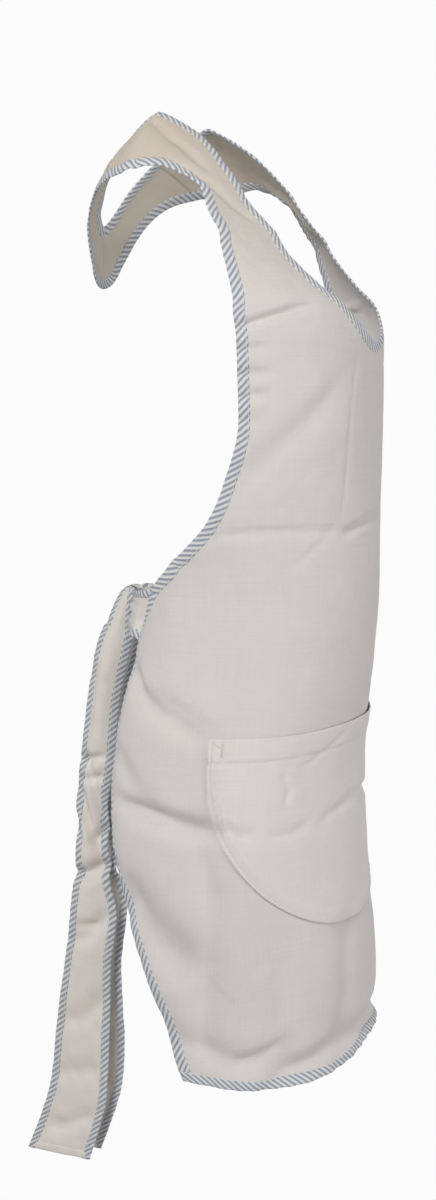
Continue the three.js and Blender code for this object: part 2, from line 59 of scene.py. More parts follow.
# %% Sizes of the garment, in millimetres
MM = 0.001
WAIST = 463          # down the cloth, from the shoulder ridge to the waist corner
SKIRT = 445          # from the waist corner's level to the hem, at the centre front
NECK = 243           # down to the lowest point of the neckline
BEND = 150           # cloth that bends over the shoulder, in front
BEND_BEHIND = 120    # and behind
DROP = 110           # the cloth hangs upright below this depth
AXIS = -38           # the trunk's axis, in front of the ridge
BINDING = 10         # width of the striped binding on the body
HEM_BINDING = 8.5    # along the hem, where it is turned under a little
TIE_BINDING = 8      # and on the ties
POCKET_TOP = WAIST + 127
POCKET_DEPTH = 190
POCKET_SIDE = 22         # the straight part of its side, above the curve
POCKET_ANGLE = 73        # from the centre front to the pocket's side, in degrees
KNOT = np.array([0.0, 34.0, -449.0])
PER_DEGREE = 2.7         # of cloth to a degree round the trunk, near enough
WHOLE_TURN = 6.283       # of a wave, in radians


def bib(share):
    return share * WAIST


def skirt(share):
    return WAIST + share * SKIRT


# %% A smooth curve through a few keys, and one through a few points
def profile(keys):
    t, v = np.array(keys, float).T
    step = np.diff(v) / np.diff(t)
    slope = np.concatenate([step[:1], np.zeros(len(t) - 2), step[-1:]])
    for i in range(1, len(t) - 1):
        a, b = step[i - 1], step[i]
        slope[i] = 0 if a * b <= 0 else 2 * a * b / (a + b)

    def at(place):
        p = np.clip(np.asarray(place, float), t[0], t[-1])
        i = np.clip(np.searchsorted(t, p, side="right") - 1, 0, len(t) - 2)
        span = t[i + 1] - t[i]
        u = (p - t[i]) / span
        w = 1 - u
        rise = (1 + 2 * u) * w * w * v[i] + u * u * (3 - 2 * u) * v[i + 1]
        return rise + u * w * span * (w * slope[i] - u * slope[i + 1])

    return at


def through(points):
    p = np.array(points, float)
    q = np.vstack([[p[1, 0], -p[1, 1]], p, [p[-2, 0], -p[-2, 1]]])

    def at(share):
        s = np.clip(np.asarray(share, float), 0, 1) * (len(p) - 1)
        i = np.minimum(s.astype(int), len(p) - 2)
        u = (s - i)[..., None]
        a, b, c, d = q[i], q[i + 1], q[i + 2], q[i + 3]
        steps = (b - a, c - b, d - c)
        da, db, dc = [np.sqrt(np.linalg.norm(x, axis=-1))[..., None] for x in steps]
        one = ((b - a) / da - (c - a) / (da + db) + (c - b) / db) * db
        two = ((c - b) / db - (d - b) / (db + dc) + (d - c) / dc) * db
        bend, rest = 3 * (c - b) - 2 * one - two, 2 * (b - c) + one + two
        return b + one * u + bend * u**2 + rest * u**3

    return at


# %% The trunk: how wide and how deep it is at each place down the cloth
half_width = profile([
    (-140, 109.5), (-60, 139.5), (0, 152), (30, 162), (75, 175), (110, 172), (BEND, 162),
    (bib(0.55), 150), (bib(0.8), 141), (bib(1), 132), (skirt(0.13), 140), (skirt(0.31), 160.8),
    (skirt(0.53), 174), (skirt(0.85), 180), (skirt(1.1), 181),
])
front_depth = profile([
    (0, 121), (28, 103), (75, 84), (115, 77), (BEND, 86), (192, 118), (212, 138), (NECK, 147),
    (bib(1), 149), (skirt(0.17), 143), (skirt(0.4), 132), (skirt(0.62), 136), (skirt(0.85), 146),
    (skirt(1.1), 147),
])
yoke_depth = profile([(-140, 84), (-90, 84), (-60, 88), (-25, 102), (0, 121)])
rear_depth = profile([
    (bib(0.55), 80), (bib(0.8), 66), (bib(1), 66), (skirt(0.13), 78), (skirt(0.31), 98),
    (skirt(0.53), 106), (skirt(1.1), 108),
])
squareness = profile([(130, 1), (220, 0.86), (300, 0.86), (420, 0.95), (700, 0.95)])
centre = profile([(0, 0), (BEND, AXIS)])
print("half the trunk's width at the waist, mm:", float(half_width(WAIST)))


def trunk(place, angle):
    """The point of the trunk at a place down the cloth and an angle round it."""
    place, angle = np.broadcast_arrays(np.asarray(place, float), np.asarray(angle, float))
    a = np.radians(angle)
    turn = np.where(place < BEND, 90 * (1 - np.maximum(place, 0) / BEND), 0)
    turn = np.radians(turn + np.where(place < 0, 90 * np.minimum(-place / BEND_BEHIND, 1), 0))
    z = -DROP - np.maximum(place - BEND, 0) - np.maximum(-place - BEND_BEHIND, 0)
    power = squareness(place)
    ahead = np.sign(np.cos(a)) * np.abs(np.cos(a)) ** power
    depth = np.where(ahead < 0, rear_depth(place), front_depth(place))
    depth = np.where(place < 0, yoke_depth(place), depth)
    out = depth * ahead
    x = half_width(place) * np.sign(np.sin(a)) * np.abs(np.sin(a)) ** power
    return np.stack([x, centre(place) - out * np.cos(turn), z + out * np.sin(turn)], -1)


def outward(surface, place, angle):
    """The normal of a surface of places and angles, away from the wearer."""
    down = surface(place + 1.0, angle) - surface(place - 1.0, angle)
    around = surface(place, angle + 0.4) - surface(place, angle - 0.4)
    n = np.cross(down, around)
    return n / np.maximum(np.linalg.norm(n, axis=-1, keepdims=True), 1e-9)


# %% The outline of the cut: neckline, armhole, yoke, side and hem
neckline = through([
    (-106, 0), (-98, 6), (-78, 10.5), (-45, 16), (-20, 20), (0, 24), (30, 22.5), (75, 26),
    (125, 28), (BEND + 10, 26.5), (NECK - 51, 22), (NECK - 28, 15.5), (NECK - 9, 8), (NECK, 0),
])
yoke_edge = through([
    (-163, 0), (-158, 10), (-138, 20), (-110, 30), (-80, 38), (-45, 52), (-20, 60),
])
armhole = profile([
    (-45, 52), (-20, 60), (0, 63), (30, 54), (75, 46.5), (100, 49.5), (BEND, 58), (BEND + 42, 64),
    (bib(0.48), 68), (bib(0.67), 68), (bib(0.8), 73), (bib(0.865), 78), (bib(0.907), 84),
    (bib(0.95), 92), (bib(1), 110),
])
side_edge = profile([
    (skirt(0), 110), (skirt(0.08), 122), (skirt(0.22), 127), (skirt(0.35), 127), (skirt(0.49), 122),
    (skirt(0.58), 116), (skirt(0.67), 108), (skirt(0.76), 97), (skirt(0.85), 88), (skirt(0.94), 83),
    (skirt(1.01), 78),
])
hem_dip = profile([(0, 0), (45, 3), (80, -11)])
SEAM_SHARE = 10 / 42     # of the neckline, from the centre back to the shoulder seam
YOKE_SHARE = 5 / 6       # of the yoke's edge, to the same seam


def hem(angle):
    return skirt(1) + hem_dip(np.abs(angle))


print("girth of the cloth at the waist, mm:", round(float(2 * PER_DEGREE * side_edge(skirt(0.2)))))

# %% [markdown]
# A tape covers a strip of one width along an edge, so places a set distance inside an edge are needed
# everywhere. On a curved trunk the way square to an edge bends as it goes, so it is taken in short
# steps. Moving every point by the same angle would be simpler, and would squeeze the tape wherever
# the edge runs aslant.

# %% Places a set distance inside an edge


def beside(place, angle, along, distance, steps=5):
    """Places and angles a distance to one side of a line that runs along, measured square to it."""
    along = along / np.linalg.norm(along, axis=-1, keepdims=True)
    target = np.cross(outward(trunk, place, angle), along) * distance / steps
    for _ in range(steps):
        by_place = trunk(place + 0.5, angle) - trunk(place - 0.5, angle)
        by_angle = trunk(place, angle + 0.5) - trunk(place, angle - 0.5)
        pp, aa = np.sum(by_place * by_place, -1), np.sum(by_angle * by_angle, -1)
        pa = np.sum(by_place * by_angle, -1)
        tp, ta = np.sum(target * by_place, -1), np.sum(target * by_angle, -1)
        det = pp * aa - pa * pa
        place = place + (tp * aa - ta * pa) / det
        angle = angle + (ta * pp - tp * pa) / det
    return place, angle


def square_inside(edge, place, distance):
    """Places and angles a distance inside an edge, measured square to it."""
    along = np.gradient(trunk(place, edge(place)), axis=0)
    return beside(place, edge(place), along, -distance)


def inside(edge, place, distance):
    """The angle a distance inside an edge, at the same place down the cloth."""
    angle = edge(place)
    along = trunk(place + 1, edge(place + 1)) - trunk(place - 1, edge(place - 1))
    around = trunk(place, angle + 0.5) - trunk(place, angle - 0.5)
    square = np.linalg.norm(np.cross(along, around), axis=-1)
    return angle - distance * np.linalg.norm(along, axis=-1) / square


def offset(curve, share, distance):
    """Places and angles a distance to one side of a curve, measured square to it."""
    here = curve(share)
    p, a = here[..., 0], here[..., 1]
    ahead = curve(np.minimum(share + 0.001, 1))
    behind = curve(np.maximum(share - 0.001, 0))
    along = trunk(ahead[..., 0], ahead[..., 1]) - trunk(behind[..., 0], behind[..., 1])
    place, angle = beside(p, a, along, distance)
    angle = np.maximum(angle, 0)
    end = np.where(share <= 0, -distance, distance)
    at_end = (share <= 0) | (share >= 1)
    return np.where(at_end, p + end, place), np.where(at_end, 0, angle)


lowest = offset(neckline, np.ones(1), BINDING)[0][0]
print("inner edge of the neck tape, at its lowest, mm down the cloth:", round(float(lowest)))

# %% [markdown]
# Worn cotton is never smooth. It keeps the creases of its folding, it drags from the points that carry
# it, and it puckers along every sewn edge. A cloth simulation would make folds, though not the ones this
# apron has, so each crease is drawn as a line of places on the cloth with a depth, a width and a lean,
# which raises one bank of it. Gentle waves and fine ripples, from a seeded generator, fill what is left.

# %% How one crease presses the cloth
def crease(place, angle, points, depth, width, lean=0.0):
    here = np.stack([place, angle * PER_DEGREE], -1)
    line = np.array(points, float) * (1, PER_DEGREE)
    lengths = np.linalg.norm(np.diff(line, axis=0), axis=1)
    run = np.concatenate([[0], np.cumsum(lengths)])
    near = np.full(place.shape, 1e9)
    at = np.zeros(place.shape)
    side = np.zeros(place.shape)
    for a, b, start, length in zip(line, line[1:], run, lengths):
        d = (b - a) / length
        t = np.clip((here - a) @ d, 0, length)
        away = np.linalg.norm(here - a - t[..., None] * d, axis=-1)
        cross = (here[..., 0] - a[0]) * d[1] - (here[..., 1] - a[1]) * d[0]
        closer = away < near
        near = np.where(closer, away, near)
        at = np.where(closer, start + t, at)
        side = np.where(closer, np.sign(cross), side)
    share = at / run[-1]
    fade = np.clip(4 * np.minimum(share, 1 - share) + 0.15, 0, 1)
    x = near / width
    return depth * fade * (lean * side * x - 1) * np.exp(-x * x)


# %% Creases: (places and angles), depth, width, lean
# angles in these three tables count towards the wearer's right
RIGHT_CREASES = [
    ([(234, 72), (224, 58), (216, 46), (211, 34)], 2.9, 4, 1.0),
    ([(251, 71), (248, 57)], 1.3, 3.5, 0.5),
    ([(272, 71), (270, 55)], 1.7, 4, 0.5),
    ([(292, 72), (287, 56)], 1.7, 4, 0.5),
    ([(314, 72), (311, 60)], 1.2, 4, 0.5),
    ([(376, 76), (322, 49), (268, 20)], 1.6, 14, 1.0),
    ([(412, 82), (408, 56), (410, 20)], 1.2, 4, 0.8),
    ([(414, 26), (403, 8), (399, -9)], 2.2, 4.5, 1.0),
    ([(243, 13), (295, 18), (357, 22), (412, 26)], 0.5, 3, 0.3),
    ([(450, 70), (522, 67), (605, 61)], 0.6, 3.5, 0.2),
    ([(526, 120), (552, 108), (570, 88), (592, 72)], 4.2, 10, 0.9),
    ([(548, 96), (566, 82), (584, 70)], 1.6, 4, 0.6),
    ([(600, 122), (640, 100), (668, 82)], 2.0, 12, 0.6),
    ([(646, 116), (651, 108), (658, 89), (672, 64)], 5.2, 10, 1.0),
    ([(650, 112), (654, 102), (662, 84)], 1.8, 4, 0.5),
    ([(712, 110), (740, 97), (775, 82), (800, 72)], 5.6, 25, 1.1),
    ([(640, 76), (731, 69), (830, 71), (905, 72)], 3.0, 15, 0.4),
    ([(850, 86), (880, 60), (895, 30)], 2.4, 12, 0.6),
    ([(884, 64), (866, 42)], 2.6, 8, 0.6),
    ([(30, 50), (80, 40), (140, 34)], 1.5, 7, 0.5),
    ([(-30, 26), (20, 36), (70, 36)], 1.8, 8, 0.6),
]
LEFT_CREASES = [
    ([(222, -72), (214, -58), (206, -40)], 2.4, 4, 0.9),
    ([(262, -71), (258, -56)], 1.5, 4, 0.5),
    ([(288, -72), (282, -58)], 1.5, 4, 0.5),
    ([(388, -76), (330, -52), (280, -26)], 1.6, 14, -0.9),
    ([(418, -84), (412, -58), (414, -22)], 1.2, 4, 0.7),
    ([(460, -66), (530, -64), (604, -60)], 0.6, 3.5, 0.2),
    ([(536, -120), (560, -104), (584, -80), (600, -66)], 4.2, 10, -0.8),
    ([(636, -126), (650, -108), (662, -84), (676, -60)], 4.8, 10, -0.9),
    ([(700, -120), (750, -100), (790, -80)], 4.6, 26, -0.8),
    ([(650, -84), (740, -78), (840, -76), (905, -74)], 3.2, 16, 0.4),
    ([(893, 6), (886, -20), (905, -46)], 3.4, 12, 0.6),
    ([(30, -48), (90, -40), (140, -36)], 1.6, 7, 0.5),
]
SHARED_CREASES = [
    ([(664, 66), (670, 60), (672, 54)], 1.0, 6, 0.7),
    ([(676, 50), (677, 40), (671, 30)], 1.0, 6, 0.8),
    ([(674, 26), (662, 8), (668, -12), (675, -28), (670, -50)], 2.0, 6, 0.9),
    ([(620, 44), (640, 40), (655, 42)], 1.2, 5, 0.6),
    ([(896, -6), (888, 24), (908, 46), (925, 60)], 2.9, 11, 0.9),
    ([(760, 10), (840, 14), (900, 18)], 2.6, 18, 0.4),
    ([(760, -36), (840, -40), (905, -44)], 2.8, 18, -0.4),
    ([(780, 44), (850, 46), (905, 42)], 2.0, 15, 0.3),
]
CREASES = RIGHT_CREASES + LEFT_CREASES + SHARED_CREASES
RELIEF = 1.8             # how strongly they show
print("creases:", len(CREASES))

# %% Waves, ripples and dents, seeded
chance = np.random.default_rng(11)
WAVES = [(chance.uniform(-1, 1, 2), chance.uniform(0, 6.3)) for _ in range(14)]
RIPPLES = [(chance.uniform(-1, 1, 2), chance.uniform(0, 6.3)) for _ in range(22)]
# of a dent: place, place across, slant, length, width, depth
DENT_RANGES = [(-20, 900), (-330, 330), (-0.9, 0.9), (18, 42), (2.4, 4.4), (-0.75, 0.1)]
DENTS = [[chance.uniform(low, high) for low, high in DENT_RANGES] for _ in range(110)]
DENT_RELIEF = 1.35


def dents(place, across):
    """Short soft creases, one for each handling."""
    total = np.zeros(np.broadcast(place, across).shape)
    for down, over, slant, length, width, depth in DENTS:
        x, y = across - over, place - down
        u = x * math.cos(slant) + y * math.sin(slant)
        w = y * math.cos(slant) - x * math.sin(slant)
        total += DENT_RELIEF * depth * np.exp(-(u / length) ** 2 - (w / width) ** 2)
    return total


def mottle(place, across, waves, length):
    """Uneven swelling: waves of one length that run every way."""
    total = np.zeros(np.broadcast(place, across).shape)
    for direction, phase in waves:
        total += np.sin((place * direction[0] + across * direction[1]) * 6.3 / length + phase)
    return total / math.sqrt(len(waves))


def pucker(from_edge, along, reach=16.0, pitch=15.0):
    """Short waves across a sewn edge, which die out away from it."""
    wobble = along + 3.5 * np.sin(along / 23.0) + 2.5 * np.sin(along / 9.0)
    return np.exp(-np.maximum(from_edge, 0) / reach) * np.sin(wobble * WHOLE_TURN / pitch)


# %% The worn cloth: the trunk with its folds
CURL, CURL_WIDTH = 7.0, 27     # how far the rear edges of the skirt turn in, and over what width


def folds(place, angle):
    """How far the cloth stands off the trunk, in millimetres."""
    across = angle * PER_DEGREE
    off = np.zeros(place.shape)
    for points, depth, width, lean in CREASES:
        off += RELIEF * crease(place, -angle, points, depth, width, lean)
    low = np.clip((place - WAIST) / SKIRT, 0, 1)
    off += (0.5 + 1.3 * low) * mottle(place * 0.35, across, WAVES, 120)
    off += 0.16 * mottle(place, across, RIPPLES, 24) + dents(place, across)
    edge = np.where(place < WAIST, armhole(place), side_edge(place))
    off += 0.42 * pucker((edge - np.abs(angle)) * PER_DEGREE, place)
    off += 0.7 * low**4 * pucker(hem(angle) - place, across, 20, 19)
    curl = np.clip(1 - (edge - np.abs(angle)) * PER_DEGREE / CURL_WIDTH, 0, 1) ** 2
    curl = curl * np.clip((place - WAIST - 4) / 30, 0, 1)
    return off - CURL * curl * np.clip((905 - place) / 60, 0, 1)


def draped(place, angle):
    return trunk(place, angle) + folds(place, angle)[..., None] * outward(trunk, place, angle)


def on_cloth(place, angle, lift=0.0):
    """A point of the worn cloth, lifted off it by some millimetres."""
    place, angle = np.broadcast_arrays(np.asarray(place, float), np.asarray(angle, float))
    lift = np.broadcast_to(lift, place.shape)[..., None]
    return draped(place, angle) + lift * outward(draped, place, angle)


# %% [markdown]
# Camera, light and floor come before the pieces, so that every piece is seen as soon as it is made. The
# garment is looked at from the wearer's right, a little in front and slightly from above, by a longish
# lens that keeps its proportions. The main light stands beside the camera and above it, so that each
# crease has a lit bank and a shaded one. Wide lights in front and on the far side open the shadows, a
# cool one behind lifts the rear edges, and a faint warm one hangs overhead. A single big light would
# leave the creases flat. The backdrop is white to the eye and dimmer as a light, and the floor is paper
# of the same white, so no horizon shows.

# %% Camera
camera = bpy.data.objects.new("camera", bpy.data.cameras.new("camera"))
bpy.context.scene.collection.objects.link(camera)
camera.location = (-1.5991, -0.6149, -0.215)
looking = Vector((0.931, 0.3388, -0.1357))
camera.rotation_mode = "QUATERNION"
camera.rotation_quaternion = looking.to_track_quat("-Z", "Y")
camera.data.sensor_width = 36
camera.data.lens = 53.8
bpy.context.scene.camera = camera
bpy.context.scene.view_settings.view_transform = "Standard"
print("camera at", [round(v, 2) for v in camera.location])


# %% Light
def soft_light(name, place, aim, size, power, colour):
    lamp = bpy.data.objects.new(name, bpy.data.lights.new(name, "AREA"))
    lamp.data.shape = "DISK"
    lamp.data.size = size
    lamp.data.energy = power
    lamp.data.color = colour
    lamp.location = place
    lamp.rotation_mode = "QUATERNION"
    lamp.rotation_quaternion = (Vector(aim) - Vector(place)).to_track_quat("-Z", "Y")
    bpy.context.scene.collection.objects.link(lamp)
    return lamp


soft_light("beside_camera", (-2.2, -0.15, 0.85), (0, 0, -0.5), 0.7, 33, (1.0, 0.98, 0.955))
soft_light("overhead", (-0.2, 0.2, 1.9), (0, 0, -0.4), 1.2, 4, (1.0, 0.62, 0.33))
soft_light("in_front", (-0.3, -2.7, -0.5), (0, 0, -0.65), 1.6, 22, (1.0, 0.985, 0.97))
soft_light("far_side", (2.4, -0.9, 0.1), (0, 0, -0.5), 1.6, 13, (1.0, 0.99, 0.98))
soft_light("behind", (-1.2, 2.2, -0.1), (0, 0.05, -0.6), 1.4, 9, (0.92, 0.96, 1.0))
print("lights:", len(bpy.data.lights))

# %% Surroundings: white to the eye, dim as a light
world = bpy.data.worlds.new("studio")
world.use_nodes = True
sky = world.node_tree
surround = sky.nodes["Background"]
surround.inputs["Color"].default_value = (0.94, 0.97, 1.0, 1)
surround.inputs["Strength"].default_value = 0.2
backdrop = sky.nodes.new("ShaderNodeBackground")
backdrop.inputs["Color"].default_value = (1, 1, 1, 1)
backdrop.inputs["Strength"].default_value = 0.97
seen = sky.nodes.new("ShaderNodeLightPath")
either = sky.nodes.new("ShaderNodeMixShader")
sky.links.new(seen.outputs["Is Camera Ray"], either.inputs[0])
sky.links.new(surround.outputs[0], either.inputs[1])
sky.links.new(backdrop.outputs[0], either.inputs[2])
sky.links.new(either.outputs[0], sky.nodes["World Output"].inputs["Surface"])
bpy.context.scene.world = world

# %% Floor, at the height of the wearer's feet
FLOOR = -1.46
bpy.ops.object.select_all(action="DESELECT")
bpy.ops.mesh.primitive_plane_add(size=60, location=(0, 0, FLOOR))
floor = bpy.context.object
floor.name = "floor"
paper = bpy.data.materials.new("floor_paper")
paper.use_nodes = True
shader = paper.node_tree.nodes["Principled BSDF"]
shader.inputs["Base Color"].default_value = (0.55, 0.52, 0.495, 1)
shader.inputs["Roughness"].default_value = 0.9
shader.inputs["Specular IOR Level"].default_value = 0.1
glow = paper.node_tree.nodes.new("ShaderNodeEmission")
glow.inputs["Strength"].default_value = 0.97
sight = paper.node_tree.nodes.new("ShaderNodeLightPath")
shown = paper.node_tree.nodes.new("ShaderNodeMixShader")
link = paper.node_tree.links.new
link(sight.outputs["Is Camera Ray"], shown.inputs[0])
link(shader.outputs[0], shown.inputs[1])
link(glow.outputs[0], shown.inputs[2])
link(shown.outputs[0], paper.node_tree.nodes["Material Output"].inputs["Surface"])
floor.data.materials.append(paper)
print("floor at", FLOOR)

# %% [markdown]
# Three finishes are needed: the cotton cloth, the striped binding and the sewing thread. All of them
# follow the cloth, so they read the piece's own UV map, which is laid out in metres: u runs along a
# strip or round the body, v across the strip or down the body. A picture of cloth would be quicker and
# would blur close to; nodes stay sharp, because the threads are sines of those two distances.

# %% Small helpers for building a node tree
def put(tree, kind, **inputs):
    made = tree.nodes.new(kind)
    for name, value in inputs.items():
        made.inputs[name.replace("_", " ")].default_value = value
    return made


def sums(tree, operation, *values):
    made = tree.nodes.new("ShaderNodeMath")
    made.operation = operation
    for i, value in enumerate(values):
        if isinstance(value, (int, float)):
            made.inputs[i].default_value = value
        else:
            tree.links.new(value, made.inputs[i])
    return made.outputs[0]


def blend_colours(tree, factor, one, two, kind="MIX"):
    made = tree.nodes.new("ShaderNodeMix")
    made.data_type = "RGBA"
    made.blend_type = kind
    for socket, value in ((0, factor), (6, one), (7, two)):
        if isinstance(value, (int, float, tuple)):
            made.inputs[socket].default_value = value
        else:
            tree.links.new(value, made.inputs[socket])
    return made.outputs[2]


def noise(tree, where, scale, stretch=(1, 1, 1), detail=3.0):
    mapping = tree.nodes.new("ShaderNodeMapping")
    mapping.inputs["Scale"].default_value = stretch
    tree.links.new(where, mapping.inputs["Vector"])
    made = put(tree, "ShaderNodeTexNoise", Scale=scale, Detail=detail)
    tree.links.new(mapping.outputs[0], made.inputs["Vector"])
    return made.outputs["Fac"]


# %% What every cloth finish starts with
def start_cloth(name, roughness):
    made = bpy.data.materials.new(name)
    made.use_nodes = True
    tree = made.node_tree
    shader = tree.nodes["Principled BSDF"]
    shader.inputs["Roughness"].default_value = roughness
    shader.inputs["Sheen Weight"].default_value = 0.12
    shader.inputs["Sheen Roughness"].default_value = 0.6
    shader.inputs["Specular IOR Level"].default_value = 0.2
    uv = tree.nodes.new("ShaderNodeTexCoord").outputs["UV"]
    split = tree.nodes.new("ShaderNodeSeparateXYZ")
    tree.links.new(uv, split.inputs[0])
    return made, tree, shader, uv, split.outputs[0], split.outputs[1]


def rough_up(tree, shader, height, depth, strength=0.6):
    bump = put(tree, "ShaderNodeBump", Strength=strength, Distance=depth)
    tree.links.new(height, bump.inputs["Height"])
    tree.links.new(bump.outputs[0], shader.inputs["Normal"])


def heap(tree, *layers):
    """One height from several, each with the share it counts for."""
    height = None
    for value, share in layers:
        layer = sums(tree, "MULTIPLY", value, share)
        height = layer if height is None else sums(tree, "ADD", height, layer)
    return height


def weave(tree, u, v, pitch):
    """Over and under, from 0 to 1: a plain weave of threads a pitch apart."""
    turn = 2 * math.pi / pitch
    warp = sums(tree, "SINE", sums(tree, "MULTIPLY", u, turn))
    weft = sums(tree, "SINE", sums(tree, "MULTIPLY", v, turn))
    return sums(tree, "MULTIPLY_ADD", sums(tree, "MULTIPLY", warp, weft), 0.5, 0.5)


# %% Cotton cloth: plain weave, thick and thin yarns, and a little unevenness in its white
CLOTH_THREAD, TAPE_THREAD = 0.0011, 0.0008     # from one thread to the next, in metres
PAINTED_SHOULDER_SHADE = (0.90, 0.865, 0.78, 1)              # painted shade: the shoulder tops are made darker and warmer, as the light falls on them


def grey_of(tree, value):
    made = tree.nodes.new("ShaderNodeCombineColor")
    for i in range(3):
        tree.links.new(value, made.inputs[i])
    return made.outputs[0]


def cotton(name, light, dark, with_painted_shoulder_shade=False):
    made, tree, shader, uv, u, v = start_cloth(name, 0.92)
    threads = weave(tree, u, v, CLOTH_THREAD)
    yarns_down = noise(tree, uv, 1.0, (900, 16, 1), 3)
    yarns_round = noise(tree, uv, 1.0, (14, 820, 1), 3)
    clouds = noise(tree, uv, 9.0, (1, 1, 1), 4)
    tint = blend_colours(tree, clouds, dark, light)
    # painted shade: near the shoulder ridge the cloth's colour turns darker and warmer, standing in for
    # the dim warm light on the shoulder tops
    if with_painted_shoulder_shade:
        high = tree.nodes.new("ShaderNodeMapRange")
        high.inputs["From Min"].default_value = 0.2
        high.inputs["From Max"].default_value = 0.03
        tree.links.new(v, high.inputs["Value"])
        shaded_tint = blend_colours(tree, 1.0, tint, PAINTED_SHOULDER_SHADE, "MULTIPLY")
        tint = blend_colours(tree, high.outputs[0], tint, shaded_tint)
    half_down, half_round = [sums(tree, "MULTIPLY", y, 0.5) for y in (yarns_down, yarns_round)]
    yarns = sums(tree, "ADD", half_down, half_round)
    thick = grey_of(tree, sums(tree, "MULTIPLY_ADD", yarns, 0.2, 0.885))
    tint = blend_colours(tree, 1.0, tint, thick, "MULTIPLY")
    # painted shade: the cloth's colour darkens a little in the pits between its threads
    painted_pit_shade = grey_of(tree, sums(tree, "MULTIPLY_ADD", threads, 0.07, 0.95))
    tint = blend_colours(tree, 1.0, tint, painted_pit_shade, "MULTIPLY")
    tree.links.new(tint, shader.inputs["Base Color"])
    crumple = noise(tree, uv, 30.0, (1, 1, 1), 5)
    rough_up(tree, shader, heap(tree, (threads, 0.16), (yarns, 0.35), (crumple, 3.0)), 0.0011)
    return made


CLOTH = cotton("white_cotton", (0.86, 0.825, 0.80, 1), (0.78, 0.745, 0.72, 1), with_painted_shoulder_shade=True)
# painted light: the ties, knot and tails get a lighter copy of the body's cotton, making up for the
# shade they hang in behind the body
TIE_CLOTH_PAINTED_LIGHTER = cotton("tie_cotton_painted_lighter", (0.95, 0.915, 0.865, 1), (0.89, 0.85, 0.795, 1))
POCKET_CLOTH = cotton("pocket_cotton", (0.90, 0.872, 0.84, 1), (0.85, 0.82, 0.785, 1))


# %% Striped binding: printed stripes on the bias, with the row of stitches that holds it
STRIPE = 0.0063                    # from one stripe to the next along the edge, in metres
ROW_INSET = 0.0014                 # the stitches run this far outside the tape's inner edge
STITCH_STEP, THREAD_SHARE = 0.003, 0.73     # from one stitch to the next, and how much is thread
ROW_HALF, GROOVE_HALF = 0.0003, 0.0006


def striped(name, lean, width):
    made, tree, shader, uv, u, v = start_cloth(name, 0.85)
    wobble = sums(tree, "MULTIPLY", noise(tree, uv, 90.0, (1, 1, 1), 2), 0.0012)
    along = sums(tree, "ADD", sums(tree, "MULTIPLY_ADD", v, lean, u), wobble)
    wave = sums(tree, "SINE", sums(tree, "MULTIPLY", along, 2 * math.pi / STRIPE))
    stripe = tree.nodes.new("ShaderNodeMapRange")
    stripe.interpolation_type = "SMOOTHSTEP"
    stripe.inputs["From Min"].default_value = -0.15
    stripe.inputs["From Max"].default_value = 0.35
    tree.links.new(wave, stripe.inputs["Value"])
    threads = weave(tree, u, v, TAPE_THREAD)
    yarns = noise(tree, uv, 1.0, (700, 700, 1), 2)
    blue = blend_colours(tree, yarns, (0.30, 0.345, 0.44, 1), (0.40, 0.445, 0.53, 1))
    white = blend_colours(tree, yarns, (0.76, 0.78, 0.80, 1), (0.86, 0.87, 0.88, 1))
    tint = blend_colours(tree, stripe.outputs[0], white, blue)
    inwards = sums(tree, "ABSOLUTE", v)
    from_row = sums(tree, "ABSOLUTE", sums(tree, "SUBTRACT", inwards, width - ROW_INSET))
    on_row = sums(tree, "LESS_THAN", from_row, ROW_HALF)
    step = sums(tree, "FRACT", sums(tree, "DIVIDE", u, STITCH_STEP))
    stitch = sums(tree, "MULTIPLY", on_row, sums(tree, "LESS_THAN", step, THREAD_SHARE))
    tint = blend_colours(tree, stitch, tint, (0.86, 0.85, 0.82, 1))
    tree.links.new(tint, shader.inputs["Base Color"])
    groove = sums(tree, "LESS_THAN", from_row, GROOVE_HALF)
    crumple = noise(tree, uv, 120.0, (1, 1, 1), 3)
    height = heap(tree, (threads, 0.2), (stitch, 0.9), (groove, -0.7), (crumple, 1.2))
    rough_up(tree, shader, height, 0.0006)
    return made


EDGE_TAPE = striped("edge_tape", 1.0, 0.010)
EDGE_TAPE_TURNED = striped("edge_tape_turned", -1.0, 0.010)
EDGE_TAPES = {-1: EDGE_TAPE, 1: EDGE_TAPE_TURNED}     # by side: one roll of tape can't mirror
TIE_TAPE = striped("tie_tape", 1.0, 0.008)
TIE_TAPE_TURNED = striped("tie_tape_turned", -1.0, 0.008)
TIE_TAPES = {1: TIE_TAPE, -1: TIE_TAPE_TURNED}        # for a tie's two edges

# %% Sewing thread: two plies twisted together
PLY_TURNS = 9000.0
THREAD, tree, shader, uv, u, v = start_cloth("sewing_thread", 0.7)
slanting = sums(tree, "ADD", u, sums(tree, "MULTIPLY", v, 0.6))
twist = sums(tree, "SINE", sums(tree, "MULTIPLY", slanting, PLY_TURNS))
ply_relief_and_painted_shade = sums(tree, "MULTIPLY_ADD", twist, 0.5, 0.5)
# painted shade: the thread's colour is darker in the grooves between its plies, and the same twist gives
# the bump
tint = blend_colours(tree, ply_relief_and_painted_shade, (0.70, 0.69, 0.66, 1), (0.90, 0.89, 0.86, 1))
tree.links.new(tint, shader.inputs["Base Color"])
rough_up(tree, shader, ply_relief_and_painted_shade, 0.0002)
print("materials:", len(bpy.data.materials))

# %% [markdown]
# A sheet of cloth starts as rows of points, and neighbouring points make its faces. That gives every
# thread line its true run over the shoulder and round the hips, which a subdivided plane would not. The
# sheet then gets the cloth's thickness from a Solidify modifier, applied so that the mesh is final.

